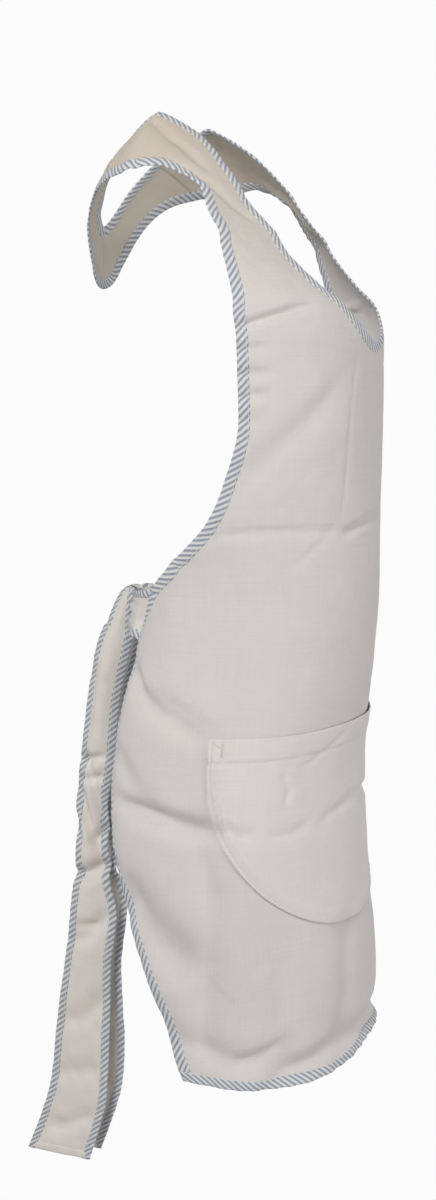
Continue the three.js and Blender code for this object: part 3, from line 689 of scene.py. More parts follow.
# %% Make a sheet from grids of points
def finish_mesh(name, corners, faces, uvs, material, thickness=0.0, weld=True):
    mesh = bpy.data.meshes.new(name)
    mesh.from_pydata([tuple(p) for p in corners * MM], [], [tuple(f) for f in faces])
    layer = mesh.uv_layers.new(name="UVMap")
    flat = np.array([i for f in faces for i in f])
    layer.data.foreach_set("uv", (uvs[flat] * MM).astype(np.float32).ravel())
    made = bpy.data.objects.new(name, mesh)
    bpy.context.scene.collection.objects.link(made)
    mesh.materials.append(material)
    bpy.ops.object.select_all(action="DESELECT")
    made.select_set(True)
    bpy.context.view_layer.objects.active = made
    if weld:
        bpy.ops.object.mode_set(mode="EDIT")
        bpy.ops.mesh.select_all(action="SELECT")
        bpy.ops.mesh.remove_doubles(threshold=0.00002)
        bpy.ops.object.mode_set(mode="OBJECT")
    if thickness:
        wall = made.modifiers.new("thickness", "SOLIDIFY")
        wall.thickness = thickness * MM
        wall.offset = 0
        bpy.ops.object.modifier_apply(modifier="thickness")
    mesh.polygons.foreach_set("use_smooth", np.ones(len(mesh.polygons), bool))
    return made


def grid_faces(rows, columns, flip, start=0):
    faces = []
    for i in range(rows - 1):
        for j in range(columns - 1):
            a, b = start + i * columns + j, start + (i + 1) * columns + j
            faces.append((a, a + 1, b + 1, b) if flip else (a, b, b + 1, a + 1))
    return faces


def sheet_from(name, grids, material, thickness=0.7):
    """grids: (points, uvs, flip), each rows by columns."""
    corners, uvs, faces, start = [], [], [], 0
    for points, uv, flip in grids:
        rows, columns = points.shape[:2]
        corners.append(points.reshape(-1, 3))
        uvs.append(uv.reshape(-1, 2))
        faces += grid_faces(rows, columns, flip, start)
        start += rows * columns
    return finish_mesh(name, np.vstack(corners), faces, np.vstack(uvs), material, thickness)


def spread(first, last, count):
    """Rows from one line of places and angles to another, in equal steps."""
    t = np.linspace(0, 1, count)
    return [a[:, None] + (b - a)[:, None] * t for a, b in zip(first, last)]


# %% [markdown]
# The body is one cut of cloth: bib, skirt and both straps as far as the shoulder seams. Half of it is
# laid out from the neckline, or from the centre front, to the armhole and side edges, and the other half
# mirrors it on the same lines, though its folds are its own.

# %% Body cloth
SELVAGE = 1.0            # the cloth's raw edge lies this far inside the binding's outer edge
COLUMNS = 66
neck_rows = np.linspace(SEAM_SHARE, 1, 92)
neck_line = offset(neckline, neck_rows, SELVAGE)
strap_outer = (neck_line[0], inside(armhole, neck_line[0], SELVAGE))
bib_places = np.linspace(neck_line[0][-1], WAIST, 58)[1:]
skirt_shares = np.linspace(0, 1, 112)


def skirt_rows(shares):
    """Rows that follow the hem more and more as they near it."""
    angle = np.full(shares.shape, 100.0)
    for _ in range(8):
        place = WAIST + shares * (hem(angle) - SELVAGE - WAIST)
        angle = inside(side_edge, place, SELVAGE)
    a = angle[:, None] * np.linspace(0, 1, COLUMNS)
    return WAIST + shares[:, None] * (hem(a) - SELVAGE - WAIST), a


def body_half(side):
    strap = spread(neck_line, strap_outer, COLUMNS)
    front = (bib_places, np.zeros_like(bib_places))
    chest = spread(front, (bib_places, inside(armhole, bib_places, SELVAGE)), COLUMNS)
    low = skirt_rows(skirt_shares[1:])
    place = np.vstack([strap[0], chest[0], low[0]])
    angle = np.vstack([strap[1], chest[1], low[1]]) * side
    return on_cloth(place, angle), np.stack([angle * PER_DEGREE, place], -1), side > 0


body = sheet_from("body_cloth", [body_half(-1), body_half(1)], CLOTH)
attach(body, "apron")
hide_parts("apron_body")
print("body cloth:", len(body.data.polygons), "faces")

# %% [markdown]
# Behind the shoulder seams each strap goes on down to the centre back, where the two are joined in a
# seam between the shoulder blades. The seams are pressed flat and stitched, so each is a narrow raised
# band. They keep the straps from pulling out of true, and from behind they are what the eye finds first.

# %% Back straps and their seams
SEAM_RISE = np.array([0.3, 0.85, 0.8, 0.85, 0.3])      # of a pressed seam's section, off the cloth
straps, seams = [], []
for name, side in (("right", -1), ("left", 1)):
    shares = np.linspace(0, 1, 40)
    near = offset(neckline, shares * SEAM_SHARE, SELVAGE)
    far = offset(yoke_edge, shares * YOKE_SHARE, -SELVAGE)
    near[0][-1], near[1][-1] = neck_line[0][0], neck_line[1][0]
    far[0][-1], far[1][-1] = strap_outer[0][0], strap_outer[1][0]
    place, angle = spread(near, far, 34)
    points = on_cloth(place, angle * side)
    points[0, :, 0] = 0
    uv = np.stack([angle * side * PER_DEGREE, place], -1)
    strap = sheet_from(f"{name}_back_strap_cloth", [(points, uv, side > 0)], CLOTH)
    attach(strap, "apron")
    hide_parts(f"{name}_back_strap")
    straps.append(strap)
    across = np.linspace(0.04, 0.96, 40)
    row_place = place[-1][0] + (place[-1][-1] - place[-1][0]) * across
    row_angle = angle[-1][0] + (angle[-1][-1] - angle[-1][0]) * across
    step = np.array([-6.0, -5.2, -3, -0.8, 0])
    band_place = row_place[:, None] + step
    points = on_cloth(band_place, (row_angle * side)[:, None] + 0 * step, SEAM_RISE)
    uv = np.stack([(row_angle * PER_DEGREE)[:, None] + 0 * step, 8 + step + 0 * band_place], -1)
    seam = sheet_from(f"{name}_shoulder_seam", [(points, uv, side > 0)], CLOTH, 0.5)
    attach(seam, "apron")
    seams.append(seam)
drop = np.linspace(0.05, 0.95, 24)
top = offset(neckline, np.zeros(1), SELVAGE)[0][0]
bottom = offset(yoke_edge, np.zeros(1), -SELVAGE)[0][0]
place = (top + (bottom - top) * drop)[:, None] + np.zeros(5)
step = np.array([-3.0, -2.6, 0, 2.6, 3.0])
points = on_cloth(place, step / 1.4 + 0 * place, SEAM_RISE)
uv = np.stack([place, step + 5 + 0 * place], -1)
centre_seam = sheet_from("centre_back_seam", [(points, uv, True)], CLOTH, 0.5)
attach(centre_seam, "apron")
print("back straps made, seams:", len(seams) + 1)

# %% [markdown]
# Binding is a strip cut on the bias, folded over the raw edge and stitched through both sides. A flat
# ribbon would not do: what tells binding from a printed border is its rounded edge and its thickness.
# So one section, round at the outer edge and open towards the cloth, is carried along each edge. The
# stripes are at 45 degrees to the edge because the strip was cut on the bias.

# %% Carry the binding's section along an edge
SECTION = [                    # share of the width inside the edge, and lift off the cloth
    (1.0, 0.35), (0.985, 0.8), (0.87, 0.78), (0.8, 0.98), (0.5, 1.06), (0.16, 1.04), (0.03, 0.8),
    (-0.02, 0.3),
]
SECTION += [(a, -b) for a, b in reversed(SECTION)]


def binding(name, at_distance, width, material, nodes,
            body_name="apron", closed=False, side=1, slack=0.0):
    """at_distance(d) gives the points and normals of a line that lies d inside the edge."""
    along = run_of(at_distance(0)[0])
    swell = 1 + 0.14 * np.sin(along / 4.1) + 0.1 * np.sin(along / 9.7 + 1)
    ring, uvs = [], []
    for share, lift in SECTION:
        points, normals = at_distance(share * width)
        off = lift * swell + slack * math.copysign(1, lift)
        ring.append(points + normals * off[:, None])
        # the strip runs on round the edge, so its inner face counts the other way
        across = math.copysign(max(share, 0), lift) * width
        uvs.append(np.stack([along, np.full(along.shape, across)], -1))
    points, uv = np.stack(ring, 1), np.stack(uvs, 1)
    rows, columns = points.shape[:2]
    faces = []
    for i in range(rows if closed else rows - 1):
        k = (i + 1) % rows
        for j in range(columns):
            m = (j + 1) % columns
            quad = (i * columns + j, k * columns + j, k * columns + m, i * columns + m)
            faces.append(quad if side > 0 else quad[::-1])
    if not closed:
        ends = [tuple(range(columns)), tuple(range((rows - 1) * columns, rows * columns))[::-1]]
        faces += ends if side > 0 else [f[::-1] for f in ends]
    made = finish_mesh(name, points.reshape(-1, 3), faces, uv.reshape(-1, 2), material, 0, weld=False)
    bpy.ops.object.mode_set(mode="EDIT")
    bpy.ops.mesh.select_all(action="SELECT")
    bpy.ops.mesh.normals_make_consistent(inside=False)
    bpy.ops.object.mode_set(mode="OBJECT")
    if body_name:
        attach(made, body_name)
    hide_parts(*nodes)
    return made


def run_of(points):
    """Distance along a line of points."""
    return np.concatenate([[0], np.cumsum(np.linalg.norm(np.diff(points, axis=0), axis=1))])


def lie(place, angle, side):
    return draped(place, angle * side), outward(draped, place, angle * side)


# %% Neck and armhole bindings
half = np.linspace(0, 1, 150)


def neck_at(distance):
    place, angle = offset(neckline, half, distance)
    right, left = lie(place, angle, -1), lie(place[::-1][1:-1], angle[::-1][1:-1], 1)
    return np.vstack([right[0], left[0]]), np.vstack([right[1], left[1]])


tapes = [binding("neck_tape", neck_at, BINDING, EDGE_TAPE_TURNED, ["neck_binding"], closed=True)]
back_shares = np.linspace(0, YOKE_SHARE, 46)
front_places = np.concatenate([np.linspace(-44, 380, 140)[1:], np.linspace(382, WAIST, 60)])
for name, side in (("right", -1), ("left", 1)):

    def arm_at(distance, side=side):
        behind = offset(yoke_edge, back_shares, -distance)
        ahead = square_inside(armhole, front_places, distance)
        place, angle = [np.concatenate(both) for both in zip(behind, ahead)]
        points, normals = lie(place, angle, side)
        points[0, 0] = side * 0.2
        return points, normals

    tapes.append(binding(f"{name}_armhole_tape", arm_at, BINDING, EDGE_TAPES[side],
                         [f"{name}_armhole_binding"], side=side))
print("tape round the neck, mm:", round(float(run_of(neck_at(0)[0])[-1])))

# %% Side and hem bindings
HEM_CORNER = 78.0        # the angle of the hem's corners
corner = float(hem(side_edge(skirt(1))))
side_places = np.linspace(WAIST, corner, 150)
hem_parts = np.linspace(-1, 1, 260)
for name, side in (("right", -1), ("left", 1)):

    def side_at(distance, side=side):
        place, angle = square_inside(side_edge, side_places, distance)
        return lie(place, angle, side)

    tapes.append(binding(f"{name}_side_tape", side_at, BINDING, EDGE_TAPES[side],
                         [f"{name}_side_binding"], side=side))


def hem_at(distance):
    angle = np.abs(hem_parts) * inside(side_edge, hem(HEM_CORNER) - distance, 0.6)
    return lie(hem(angle) - distance, angle * np.sign(hem_parts), 1)


tapes.append(binding("hem_tape", hem_at, HEM_BINDING, EDGE_TAPE, ["hem_binding"], slack=0.12))
print("tapes:", [t.name for t in tapes])

# %% [markdown]
# The pocket is a half-moon patch: a wide straight mouth with a deep turned hem, and a curved lower edge
# turned under and stitched a few millimetres in. It was cut from a whiter piece of cloth than the body.
# It lies on the skirt along its seam and stands a little away from it at the mouth, where a hand goes.

# %% Outline of the pocket
POCKET_CURVE = POCKET_DEPTH - POCKET_SIDE      # depth of its curved part
POCKET_HALF = POCKET_ANGLE * PER_DEGREE        # half its width
MOUTH_HEM = 20                                 # depth of the hem at its mouth
SEAM_INSET = 4                                 # from its edge to the row of stitches


def pocket_low(angle):
    round_ = np.sqrt(np.maximum(1 - (angle / POCKET_ANGLE) ** 2, 0))
    return POCKET_TOP + POCKET_SIDE + POCKET_CURVE * round_


def from_seam(place, angle):
    """Distance from the pocket's curved edge, near enough."""
    a = angle * PER_DEGREE / POCKET_HALF
    b = np.maximum(place - POCKET_TOP - POCKET_SIDE, 0) / POCKET_CURVE
    f = np.maximum(np.hypot(a, b), 1e-6)
    slope = np.hypot(a / POCKET_HALF, b / POCKET_CURVE) / f
    return np.maximum((1 - f) / np.maximum(slope, 1e-6), 0)


print("pocket, half its width and its depth, mm:", round(POCKET_HALF), POCKET_DEPTH)


# %% Relief of the pocket over the skirt
def bell(distance, width):
    return np.exp(-((distance / width) ** 2))


def pocket_lift(place, angle):
    down = np.clip((place - POCKET_TOP) / POCKET_DEPTH, 0, 1)
    seam = from_seam(place, angle)
    round_ = np.minimum(np.abs(angle) / POCKET_ANGLE, 1)
    stand = 0.5 * (1 - down) ** 1.5 * (1 - round_**2) + 0.5 * np.clip(seam / 40, 0, 1)
    allowance = 0.7 * np.clip((12.5 - seam) / 1.5, 0, 1)
    hem_fold = 0.6 * np.clip((POCKET_TOP + MOUTH_HEM + 0.5 - place) / 1.2, 0, 1)
    seam_pull = -0.5 * bell(seam - SEAM_INSET, 1.2)
    hem_pull = -0.45 * bell(place - POCKET_TOP - MOUTH_HEM, 1.1)
    along = angle * PER_DEGREE + 0.9 * place
    wave = np.sin(along * WHOLE_TURN / 8.5 + 2 * np.sin(along / 31))
    puckers = 0.75 * bell(seam - 9, 7) * wave * np.clip((place - POCKET_TOP - 12) / 25, 0, 1)
    wave = np.sin(angle / 9.5 + 0.8)
    mouth = 0.3 * bell(place - POCKET_TOP, 28) * wave * (1 - round_**2)
    return 1.0 + stand + allowance + hem_fold + seam_pull + hem_pull + puckers + mouth


def pocket_skin(place, angle):
    return on_cloth(place, angle, pocket_lift(place, angle))


# %% Pocket cloth
angles = POCKET_ANGLE * np.sin(np.linspace(-math.pi / 2, math.pi / 2, 170))
down = np.concatenate([np.linspace(0, 0.16, 20), np.linspace(0.16, 1, 56)[1:]])
angle = np.broadcast_to(angles[:, None], (len(angles), len(down)))
place = POCKET_TOP + down * (pocket_low(angle) - POCKET_TOP)
uv = np.stack([angle * PER_DEGREE, place], -1)
pocket = sheet_from("pocket_cloth", [(pocket_skin(place, angle), uv, True)], POCKET_CLOTH, 0.8)
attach(pocket, "apron")
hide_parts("pocket")
print("pocket cloth:", len(pocket.data.polygons), "faces")

# %% [markdown]
# Stitches are short rounded lengths of thread lying in a row. One is modelled: a six-sided cylinder, its
# ends drawn in so that it dips into the cloth. Every other stitch is a copy of it, set along its seam.

# %% One stitch
STITCH = 2.6             # millimetres of thread between two needle holes
bpy.ops.object.select_all(action="DESELECT")
bpy.ops.mesh.primitive_cylinder_add(vertices=6, radius=0.00033, depth=STITCH * MM,
                                    rotation=(0, math.pi / 2, 0))
pattern = bpy.context.object
bpy.ops.object.transform_apply(rotation=True)
bpy.ops.object.mode_set(mode="EDIT")
bpy.ops.mesh.select_all(action="SELECT")
bpy.ops.mesh.bisect(plane_co=(-0.0008, 0, 0), plane_no=(1, 0, 0))
bpy.ops.mesh.select_all(action="SELECT")
bpy.ops.mesh.bisect(plane_co=(0.0008, 0, 0), plane_no=(1, 0, 0))
bpy.ops.mesh.select_all(action="DESELECT")
bpy.ops.object.mode_set(mode="OBJECT")
for vertex in pattern.data.vertices:
    if abs(vertex.co.x) > 0.0012:
        vertex.co = (vertex.co.x, vertex.co.y * 0.5, vertex.co.z * 0.5 - 0.0004)
stitch_points = np.array([v.co for v in pattern.data.vertices]) / MM
stitch_faces = [list(p.vertices) for p in pattern.data.polygons]
bpy.data.objects.remove(pattern)
print("one stitch:", len(stitch_faces), "faces")


# %% Sew a row of stitches
THREAD_LIFT = 0.6        # from the middle of the cloth to the middle of the thread


def sew(name, starts, ends, normals, nodes, thickness=1.0, body_name="apron"):
    corners, uvs, faces = [], [], []
    for i, (a, b, n) in enumerate(zip(starts, ends, normals)):
        x = b - a
        length = np.linalg.norm(x)
        x, mid = x / length, (a + b) / 2
        y = np.cross(n, x)
        y /= np.linalg.norm(y)
        z = np.cross(x, y)
        size = stitch_points * (length / STITCH, thickness, thickness)
        corners.append(mid + size @ np.array([x, y, z]))
        uvs.append(np.stack([size[:, 0] + 3 * i, size[:, 1]], -1))
        faces += [[v + i * len(stitch_points) for v in f] for f in stitch_faces]
    made = finish_mesh(name, np.vstack(corners), faces, np.vstack(uvs), THREAD, 0, weld=False)
    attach(made, body_name)
    if nodes:
        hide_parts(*nodes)
    return made


def row_of(place, angle, skin, gap=0.5):
    """Starts, ends and normals of stitches laid end to end along a line on a skin."""
    line = skin(place, angle)
    run = run_of(line)
    at = np.arange(1.5, run[-1] - STITCH, STITCH + gap)
    normal = outward(skin, place, angle)

    def pick(values, where):
        return np.stack([np.interp(where, run, values[:, k]) for k in range(3)], -1)

    n = pick(normal, at)
    return pick(line, at) + THREAD_LIFT * n, pick(line, at + STITCH) + THREAD_LIFT * n, n


# %% The pocket's two rows of stitches
turn = np.linspace(-math.pi / 2, math.pi / 2, 260)
seam_angle = (POCKET_ANGLE - SEAM_INSET / 2.8) * np.sin(turn)
seam_place = POCKET_TOP + POCKET_SIDE + (POCKET_CURVE - SEAM_INSET) * np.cos(turn)
drop = np.linspace(POCKET_TOP + 3, POCKET_TOP + POCKET_SIDE, 12)
seam_angle = np.concatenate([0 * drop + seam_angle[0], seam_angle, 0 * drop + seam_angle[-1]])
seam_place = np.concatenate([drop, seam_place, drop[::-1]])
row = row_of(seam_place, seam_angle, pocket_skin)
seam_row = sew("pocket_seam_stitches", *row, ["pocket_stitching"])
hem_angle = np.linspace(-POCKET_ANGLE + 3.5, POCKET_ANGLE - 3.5, 200)
row = row_of(0 * hem_angle + POCKET_TOP + MOUTH_HEM, hem_angle, pocket_skin)
hem_row = sew("pocket_hem_stitches", *row, ["pocket_hem_stitching"])
print("rows of stitches:", seam_row.name, hem_row.name)

# %% Bar tacks: short stitches side by side, across a corner that takes the strain
TACK_STITCHES, TACK_STEP = 18, 0.68
for name, side in (("right", -1), ("left", 1)):
    places = POCKET_TOP + 4 + np.arange(TACK_STITCHES) * TACK_STEP
    slant = np.where(np.arange(TACK_STITCHES) % 2, 0.25, -0.25)
    a, b = 0 * places + POCKET_ANGLE - 5.6, 0 * places + POCKET_ANGLE - 4.7
    n = outward(pocket_skin, places, a * side)
    start = pocket_skin(places + slant, a * side) + 0.7 * n
    end = pocket_skin(places - slant, b * side) + 0.7 * n
    sew(f"{name}_bar_tack", start, end, n, [f"{name}_pocket_tack"], 1.1)

# %% [markdown]
# Two ties, sewn to the waist corners, meet behind the waist in a knot. Each is a strip of the same
# cotton bound along both edges, coloured lighter than the body as painted light against the body's
# shade.
# Pulled into the knot, a strip gathers into lengthwise pleats, so the pleats here grow from nothing at
# the corner to a tight bundle at the knot.

# %% Shape of a waist tie: share from the waist corner to the knot, across from top to bottom
KNOT_PLACE = WAIST + 26
TIE_WIDTH, GATHERED = 50, 22
TIE_END = 21             # from the centre back: the knot's own cloth takes over here
TIE_RADIUS = 132         # of the trunk where the tie runs


def tie_place(share, across):
    top = WAIST + share * (KNOT_PLACE - GATHERED / 2 - WAIST)
    climb = KNOT_PLACE + GATHERED / 2 - WAIST - TIE_WIDTH
    low = WAIST + TIE_WIDTH + np.maximum(share, 0) ** 0.55 * climb
    return top + across * (low - top)


def tie_point(share, across, side):
    share, across = np.broadcast_arrays(np.asarray(share, float), np.asarray(across, float))
    start = side_edge(WAIST + across * TIE_WIDTH) - 2.0
    end = 180 - math.degrees(math.asin(TIE_END / TIE_RADIUS))
    angle = (start + share * (end - start)) * side
    place = tie_place(share, across)
    pleat = 2.6 * np.sin(across * 15.5 + 0.8 * side + 2 * share) + 1.3 * np.sin(across * 27 + 1)
    pleat = np.maximum(share, 0) ** 1.3 * pleat
    sag = 1.2 * np.sin(share * 3.1) * np.sin(across * 3.1 + 0.5) + 2.5 * share
    base = trunk(place, angle)
    n = outward(trunk, place, angle)
    fade = np.clip(1 - share * 8, 0, 1)
    return base + (pleat + sag + 1.2 + fade * (folds(place, angle) - 0.6))[..., None] * n


def skin_normal(surface, u, v, du, dv):
    by_u, by_v = surface(u + du, v) - surface(u - du, v), surface(u, v + dv) - surface(u, v - dv)
    n = np.cross(by_u, by_v)
    return n / np.maximum(np.linalg.norm(n, axis=-1, keepdims=True), 1e-9)


print("a tie's end lies in the knot at, mm:", np.round(tie_point(1.0, 0.5, -1)).tolist())

# %% Waist ties and their tapes
share = np.linspace(0, 1, 70)
for name, side in (("right", -1), ("left", 1)):

    def skin(s, a, side=side):
        return tie_point(s, a, side)

    s, a = np.meshgrid(share, np.linspace(0.015, 0.985, 34), indexing="ij")
    points = skin(s, a)
    length = run_of(points[:, 17])
    uv = np.stack([a * TIE_WIDTH, np.broadcast_to(length[:, None], a.shape)], -1)
    tie = sheet_from(f"{name}_tie_cloth", [(points, uv, side < 0)], TIE_CLOTH_PAINTED_LIGHTER)
    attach(tie, "apron")
    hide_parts(f"{name}_waist_tie")
    for edge, sense in (("upper", 1), ("lower", -1)):

        def edge_at(distance, sense=sense, side=side, skin=skin):
            width = tie_place(share, 1) - tie_place(share, 0)
            reach = distance * (1 - 0.25 * share) / np.sqrt(width * TIE_WIDTH)
            across = reach if sense > 0 else 1 - reach
            normal = skin_normal(skin, share, across, 0.004, 0.01)
            away = outward(trunk, tie_place(share, across), (150 + 0 * share) * side)
            outer = np.sign(np.sum(normal * away, -1, keepdims=True))
            return skin(share, across), normal * outer

        binding(f"{name}_tie_{edge}_tape", edge_at, TIE_BINDING, TIE_TAPES[sense],
                              [f"{name}_waist_tie_{edge}_binding"], side=side * sense)

# %% [markdown]
# The knot is the two ties crossed and pulled tight, each one turned back round the other. Each turn is
# a gathered bundle, so its section is not a circle: it has lobes where the pleats stand up, and along
# two of them runs the striped edge. The bundle is carried along a smooth line through a few points.

# %% A bundle of gathered cloth along a line
def smooth_line(points, count):
    p = np.array(points, float)
    p = np.vstack([2 * p[0] - p[1], p, 2 * p[-1] - p[-2]])
    t = np.linspace(0, len(points) - 1 - 1e-6, count)
    i = t.astype(int)
    u = (t - i)[:, None]
    a, b, c, d = p[i], p[i + 1], p[i + 2], p[i + 3]
    bend, rest = 2 * a - 5 * b + 4 * c - d, 3 * b - a - 3 * c + d
    return 0.5 * (2 * b + (c - a) * u + bend * u**2 + rest * u**3)


RINGS, RING_POINTS = 90, 48
ROLL_RADII = profile([(0, 9.8), (0.2, 7.4), (0.5, 6.8), (0.8, 7.2), (1, 7.0)])


def bundle(name, points, seed, nodes):
    line = smooth_line(points, RINGS)
    t = np.linspace(0, 1, RINGS)
    along = np.gradient(line, axis=0)
    along /= np.linalg.norm(along, axis=1, keepdims=True)
    side = np.zeros_like(line)
    first = np.cross(along[0], (0, 0, 1.0))
    side[0] = first / np.linalg.norm(first)
    for i in range(1, RINGS):
        s = side[i - 1] - along[i] * (side[i - 1] @ along[i])
        side[i] = s / np.linalg.norm(s)
    up = np.cross(along, side)
    turn = np.linspace(0, 2 * math.pi, RING_POINTS + 1)[:-1]
    twist = turn[None, :] + seed + 1.1 * t[:, None]
    lobes = 1 + 0.13 * np.sin(3 * twist) + 0.09 * np.sin(5 * twist + seed)
    lobes = lobes + 0.05 * np.sin(9 * twist + 14 * t[:, None])
    r = ROLL_RADII(t)[:, None] * lobes
    x, y = 1.18 * r * np.cos(turn), 0.82 * r * np.sin(turn)
    points = line[:, None] + x[..., None] * side[:, None] + y[..., None] * up[:, None]
    rows, columns = points.shape[:2]
    faces = []
    for i in range(rows - 1):
        for j in range(columns):
            a, b, k = i * columns, (i + 1) * columns, (j + 1) % columns
            faces.append((a + j, b + j, b + k, a + k))
    faces += [tuple(range(columns)), tuple(range((rows - 1) * columns, rows * columns))[::-1]]
    uv = np.stack(np.broadcast_arrays(turn * 7, run_of(line)[:, None]), -1).reshape(-1, 2)
    made = finish_mesh(name, points.reshape(-1, 3), faces, uv, TIE_CLOTH_PAINTED_LIGHTER, 0, weld=False)
    made.data.materials.append(TIE_TAPE)
    for i, face in enumerate(made.data.polygons[: (rows - 1) * columns]):
        where = (i % columns) / columns
        face.material_index = int(0.06 < where < 0.2 or 0.56 < where < 0.7)
    layer = made.data.uv_layers[0].data
    for face in made.data.polygons:
        if face.material_index:
            for k in face.loop_indices:
                layer[k].uv = (layer[k].uv[1], (layer[k].uv[0] / MM % 22) * MM * 0.3)
    bpy.ops.object.mode_set(mode="EDIT")
    bpy.ops.mesh.select_all(action="SELECT")
    bpy.ops.mesh.normals_make_consistent(inside=False)
    bpy.ops.object.mode_set(mode="OBJECT")
    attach(made, "apron")
    if nodes:
        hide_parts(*nodes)
    return made


# %% The two halves of the knot: each comes in from its tie and turns back round the other
RIGHT_TURN = [
    (-24, -3, 1), (-14, 2, 4), (-2, 7, 6), (8, 9, 2), (9, 6, -6), (1, 1, -9), (-8, 3, -8),
    (-14, 8, -3), (-15, 13, 2),
]
LEFT_TURN = [
    (24, -3, -1), (14, -1, -1), (3, -3, 4), (-7, 3, 9), (-10, 9, 3), (-4, 11, -4), (6, 8, -8),
    (13, 8, -4), (15, 13, 2),
]
knots = []
for name, turns, seed in (("right", RIGHT_TURN, 0.4), ("left", LEFT_TURN, 2.1)):
    places = np.array(turns, float) + KNOT
    nodes = ["waist_knot"] if name == "right" else []
    knots.append(bundle(f"{name}_half_knot", places, seed, nodes))
print("knot width, mm:", round(1000 * max(k.dimensions.x for k in knots)))

# %% [markdown]
# Below the knot each tie hangs as a tail. It leaves the knot as a puffed roll, turns edge-on to the back
# within a few centimetres and opens out as it falls. Half way down it keeps the crease from folding,
# which is where it bends. The tail is one strip from the knot to its hem, so its mesh bends smoothly
# between the two bodies of the frame that meet at the crease.

# %% Shape of a tail: depth under the knot, rear and front edge from the knot
TAIL = [
    (14, 36, 12), (30, 46, 16), (55, 56, 22), (100, 66, 32), (160, 73, 38), (220, 80, 46),
    (272, 80, 44), (315, 85, 36), (375, 93, 43), (440, 102, 45), (505, 111, 48), (540, 121, 56),
    (578, 136, 68),
]
rear_tail = profile([(d, r) for d, r, _ in TAIL])
front_tail = profile([(d, f) for d, _, f in TAIL])
tail_slope = profile([(14, 0.28), (221, 0.1), (279, 0.25), (283, 0.25), (341, 0.14), (578, 0.05)])
tail_twist = profile([(-34, 82), (-10, 52), (10, 18), (32, 2), (120, 0), (578, 0)])
tail_cup = profile([
    (-34, 3), (20, 9), (70, 10), (150, 8.5), (230, 8), (281, 4), (340, 5), (470, 3), (578, 1.2),
])
tail_width = profile([(-34, 14), (-10, 19), (14, 24), (40, 31)])
roll_y = profile([(-34, 10), (-22, 14), (-8, 20), (4, 24), (30, 31)])
roll_z = profile([(-34, -2), (-24, 7), (-12, 10), (0, 4), (14, -10), (30, -30)])
TAIL_START, TAIL_END, END_HEM = -34, 578, 8
TAIL_APART = 14          # each tail hangs this far from the centre
print("a tail is this wide at its end, mm:", float(rear_tail(TAIL_END) - front_tail(TAIL_END)))

# %% Creases of the tails: (depth and distance behind the knot), depth, width, lean
RIGHT_TAIL_CREASES = [
    ([(262, 40), (281, 62), (292, 84)], 6.0, 7, 1.0),
    ([(150, 66), (190, 56), (235, 44)], 3.2, 6, 0.8),
    ([(185, 78), (230, 66), (262, 52)], 4.0, 6, -0.8),
    ([(215, 82), (252, 72)], 3.0, 5, 0.6),
    ([(158, 44), (163, 60), (170, 74)], 3.2, 4.5, 0.9),
    ([(176, 46), (184, 60), (186, 76)], 2.6, 4, 0.7),
    ([(228, 44), (248, 60)], 2.8, 4.5, 0.7),
    ([(60, 54), (100, 58), (150, 66)], 2.0, 6, 0.5),
    ([(310, 40), (345, 64), (360, 88)], 2.6, 9, 0.7),
    ([(330, 52), (338, 80)], 2.0, 4.5, 0.6),
    ([(400, 46), (430, 70), (445, 98)], 2.2, 11, 0.5),
    ([(478, 52), (492, 78), (498, 106)], 2.0, 10, 0.5),
    ([(530, 60), (548, 90), (556, 118)], 2.2, 9, 0.7),
]
LEFT_TAIL_CREASES = [
    ([(266, 42), (281, 62), (290, 82)], 5.6, 7, -1.0),
    ([(140, 64), (180, 54), (228, 46)], 3.0, 6, 0.8),
    ([(170, 74), (215, 66), (255, 54)], 3.8, 6, -0.7),
    ([(205, 46), (240, 58)], 2.8, 5, 0.6),
    ([(330, 42), (352, 66), (366, 90)], 2.4, 10, 0.6),
    ([(420, 48), (448, 72), (456, 100)], 2.2, 11, 0.5),
    ([(515, 58), (530, 84), (536, 112)], 2.0, 10, 0.6),
]
TAIL_CREASES = {-1: RIGHT_TAIL_CREASES, 1: LEFT_TAIL_CREASES}
print("creases of the tails:", len(RIGHT_TAIL_CREASES) + len(LEFT_TAIL_CREASES))


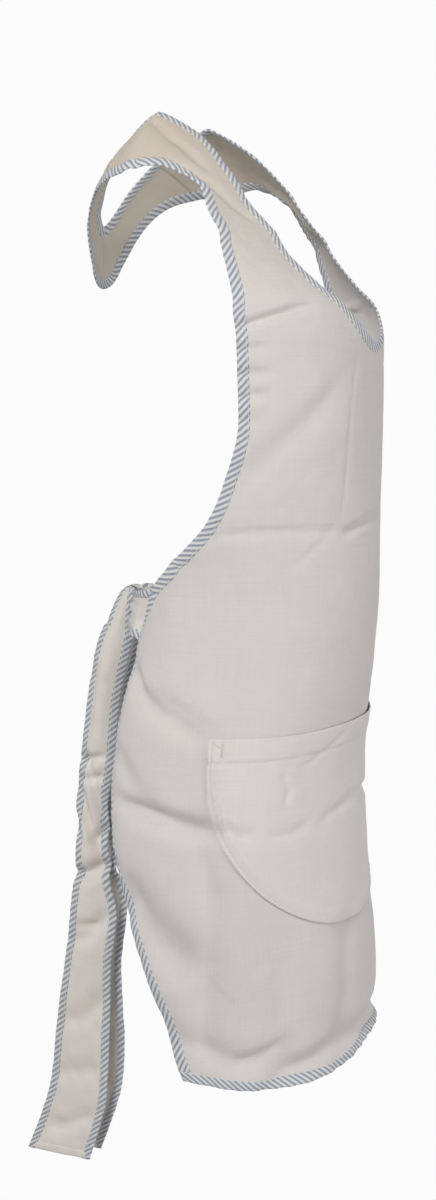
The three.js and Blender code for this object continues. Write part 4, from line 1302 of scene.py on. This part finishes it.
# %% A point of a tail
def tail_point(depth, across, side):
    """A point of the tail: across runs from its front edge, 0, to its rear edge, 1."""
    depth, across = np.broadcast_arrays(np.asarray(depth, float), np.asarray(across, float))
    low = depth > 30
    front, rear = front_tail(depth), rear_tail(depth)
    mid_y = np.where(low, (front + rear) / 2, roll_y(depth))
    mid_z = np.where(low, -depth, roll_z(depth))
    width = np.where(low, rear - front, tail_width(depth))
    wave = 1.5 * np.sin(depth / 47 + side) + 0.8 * np.sin(depth / 19 + 2 * side)
    out = (across - 0.5) * width
    twist = np.radians(tail_twist(depth))
    y = mid_y + out * np.cos(twist) + np.where(low, 0.5 * np.sin(depth / 21) * (across - 0.5), 0)
    x = side * TAIL_APART - side * out * np.sin(twist)
    x = np.where(depth < 14, x * (0.7 + 0.3 * (depth + 34) / 48), x)
    z = mid_z + tail_slope(depth) * out * np.cos(twist) * np.where(low, 1, 0.4)
    bulge = tail_cup(depth) * (np.cos((across - 0.5) * math.pi) - 0.45) + 0.35 * wave
    for points, deep, wide, lean in TAIL_CREASES[side]:
        line = [(d, v / PER_DEGREE) for d, v in points]
        bulge = bulge + RELIEF * crease(depth, y / PER_DEGREE, line, deep, wide, lean)
    bulge += 0.28 * mottle(depth, out * 1.2, RIPPLES, 22) + 0.6 * mottle(depth, out, WAVES, 90)
    edge = np.minimum(across, 1 - across) * width
    bulge += 0.4 * pucker(edge, depth + 9 * side, 9, 13)
    if side > 0:
        y = y - 7 * np.exp(-((depth - 470) / 75) ** 2)
    return np.stack([x + side * bulge, y, z], -1) + KNOT


print("a tail starts at, mm:", np.round(tail_point(TAIL_START, 0.5, -1)).tolist())

# %% Cloth, tapes and end hems of the tails, bent at the crease
for name, side in (("right", -1), ("left", 1)):

    def skin(d, a, side=side):
        return tail_point(d, a, side)

    depth = np.linspace(TAIL_START, TAIL_END - 0.8, 205)
    d, a = np.meshgrid(depth, np.linspace(0.015, 0.985, 26), indexing="ij")
    points = skin(d, a)
    uv = np.stack([a * 56, np.broadcast_to(run_of(points[:, 13])[:, None], a.shape)], -1)
    tail = sheet_from(f"{name}_tail_cloth", [(points, uv, side < 0)], TIE_CLOTH_PAINTED_LIGHTER)
    made = [tail]
    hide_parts(f"{name}_tail_upper", f"{name}_tail_lower")
    run = np.linspace(TAIL_START + 22, TAIL_END + 0.2, 250)
    for edge, sense in (("front", 1), ("rear", -1)):

        def edge_at(distance, sense=sense, side=side, skin=skin):
            chord = np.where(run > 30, rear_tail(run) - front_tail(run), tail_width(run))
            arc = chord * (1 + 2.16 * (tail_cup(run) / chord) ** 2)
            across = distance / arc if sense > 0 else 1 - distance / arc
            return skin(run, across), skin_normal(skin, run, across, 1.0, 0.02)

        nodes = [f"{name}_tail_{length}_{edge}_binding" for length in ("upper", "lower")]
        made.append(binding(f"{name}_tail_{edge}_tape", edge_at, TIE_BINDING, TIE_TAPES[sense],
                            nodes, body_name=None, side=side * sense))
    across = np.linspace(0.0, 1.0, 44)

    def end_at(distance, side=side, skin=skin):
        at = 0 * across + TAIL_END - distance
        return skin(at, across), skin_normal(skin, at, across, 1.0, 0.02)

    made.append(binding(f"{name}_tail_end", end_at, END_HEM, TIE_CLOTH_PAINTED_LIGHTER, [f"{name}_tail_end_hem"],
                        body_name=None, side=side, slack=-0.25))
    for piece in made:
        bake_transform(piece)
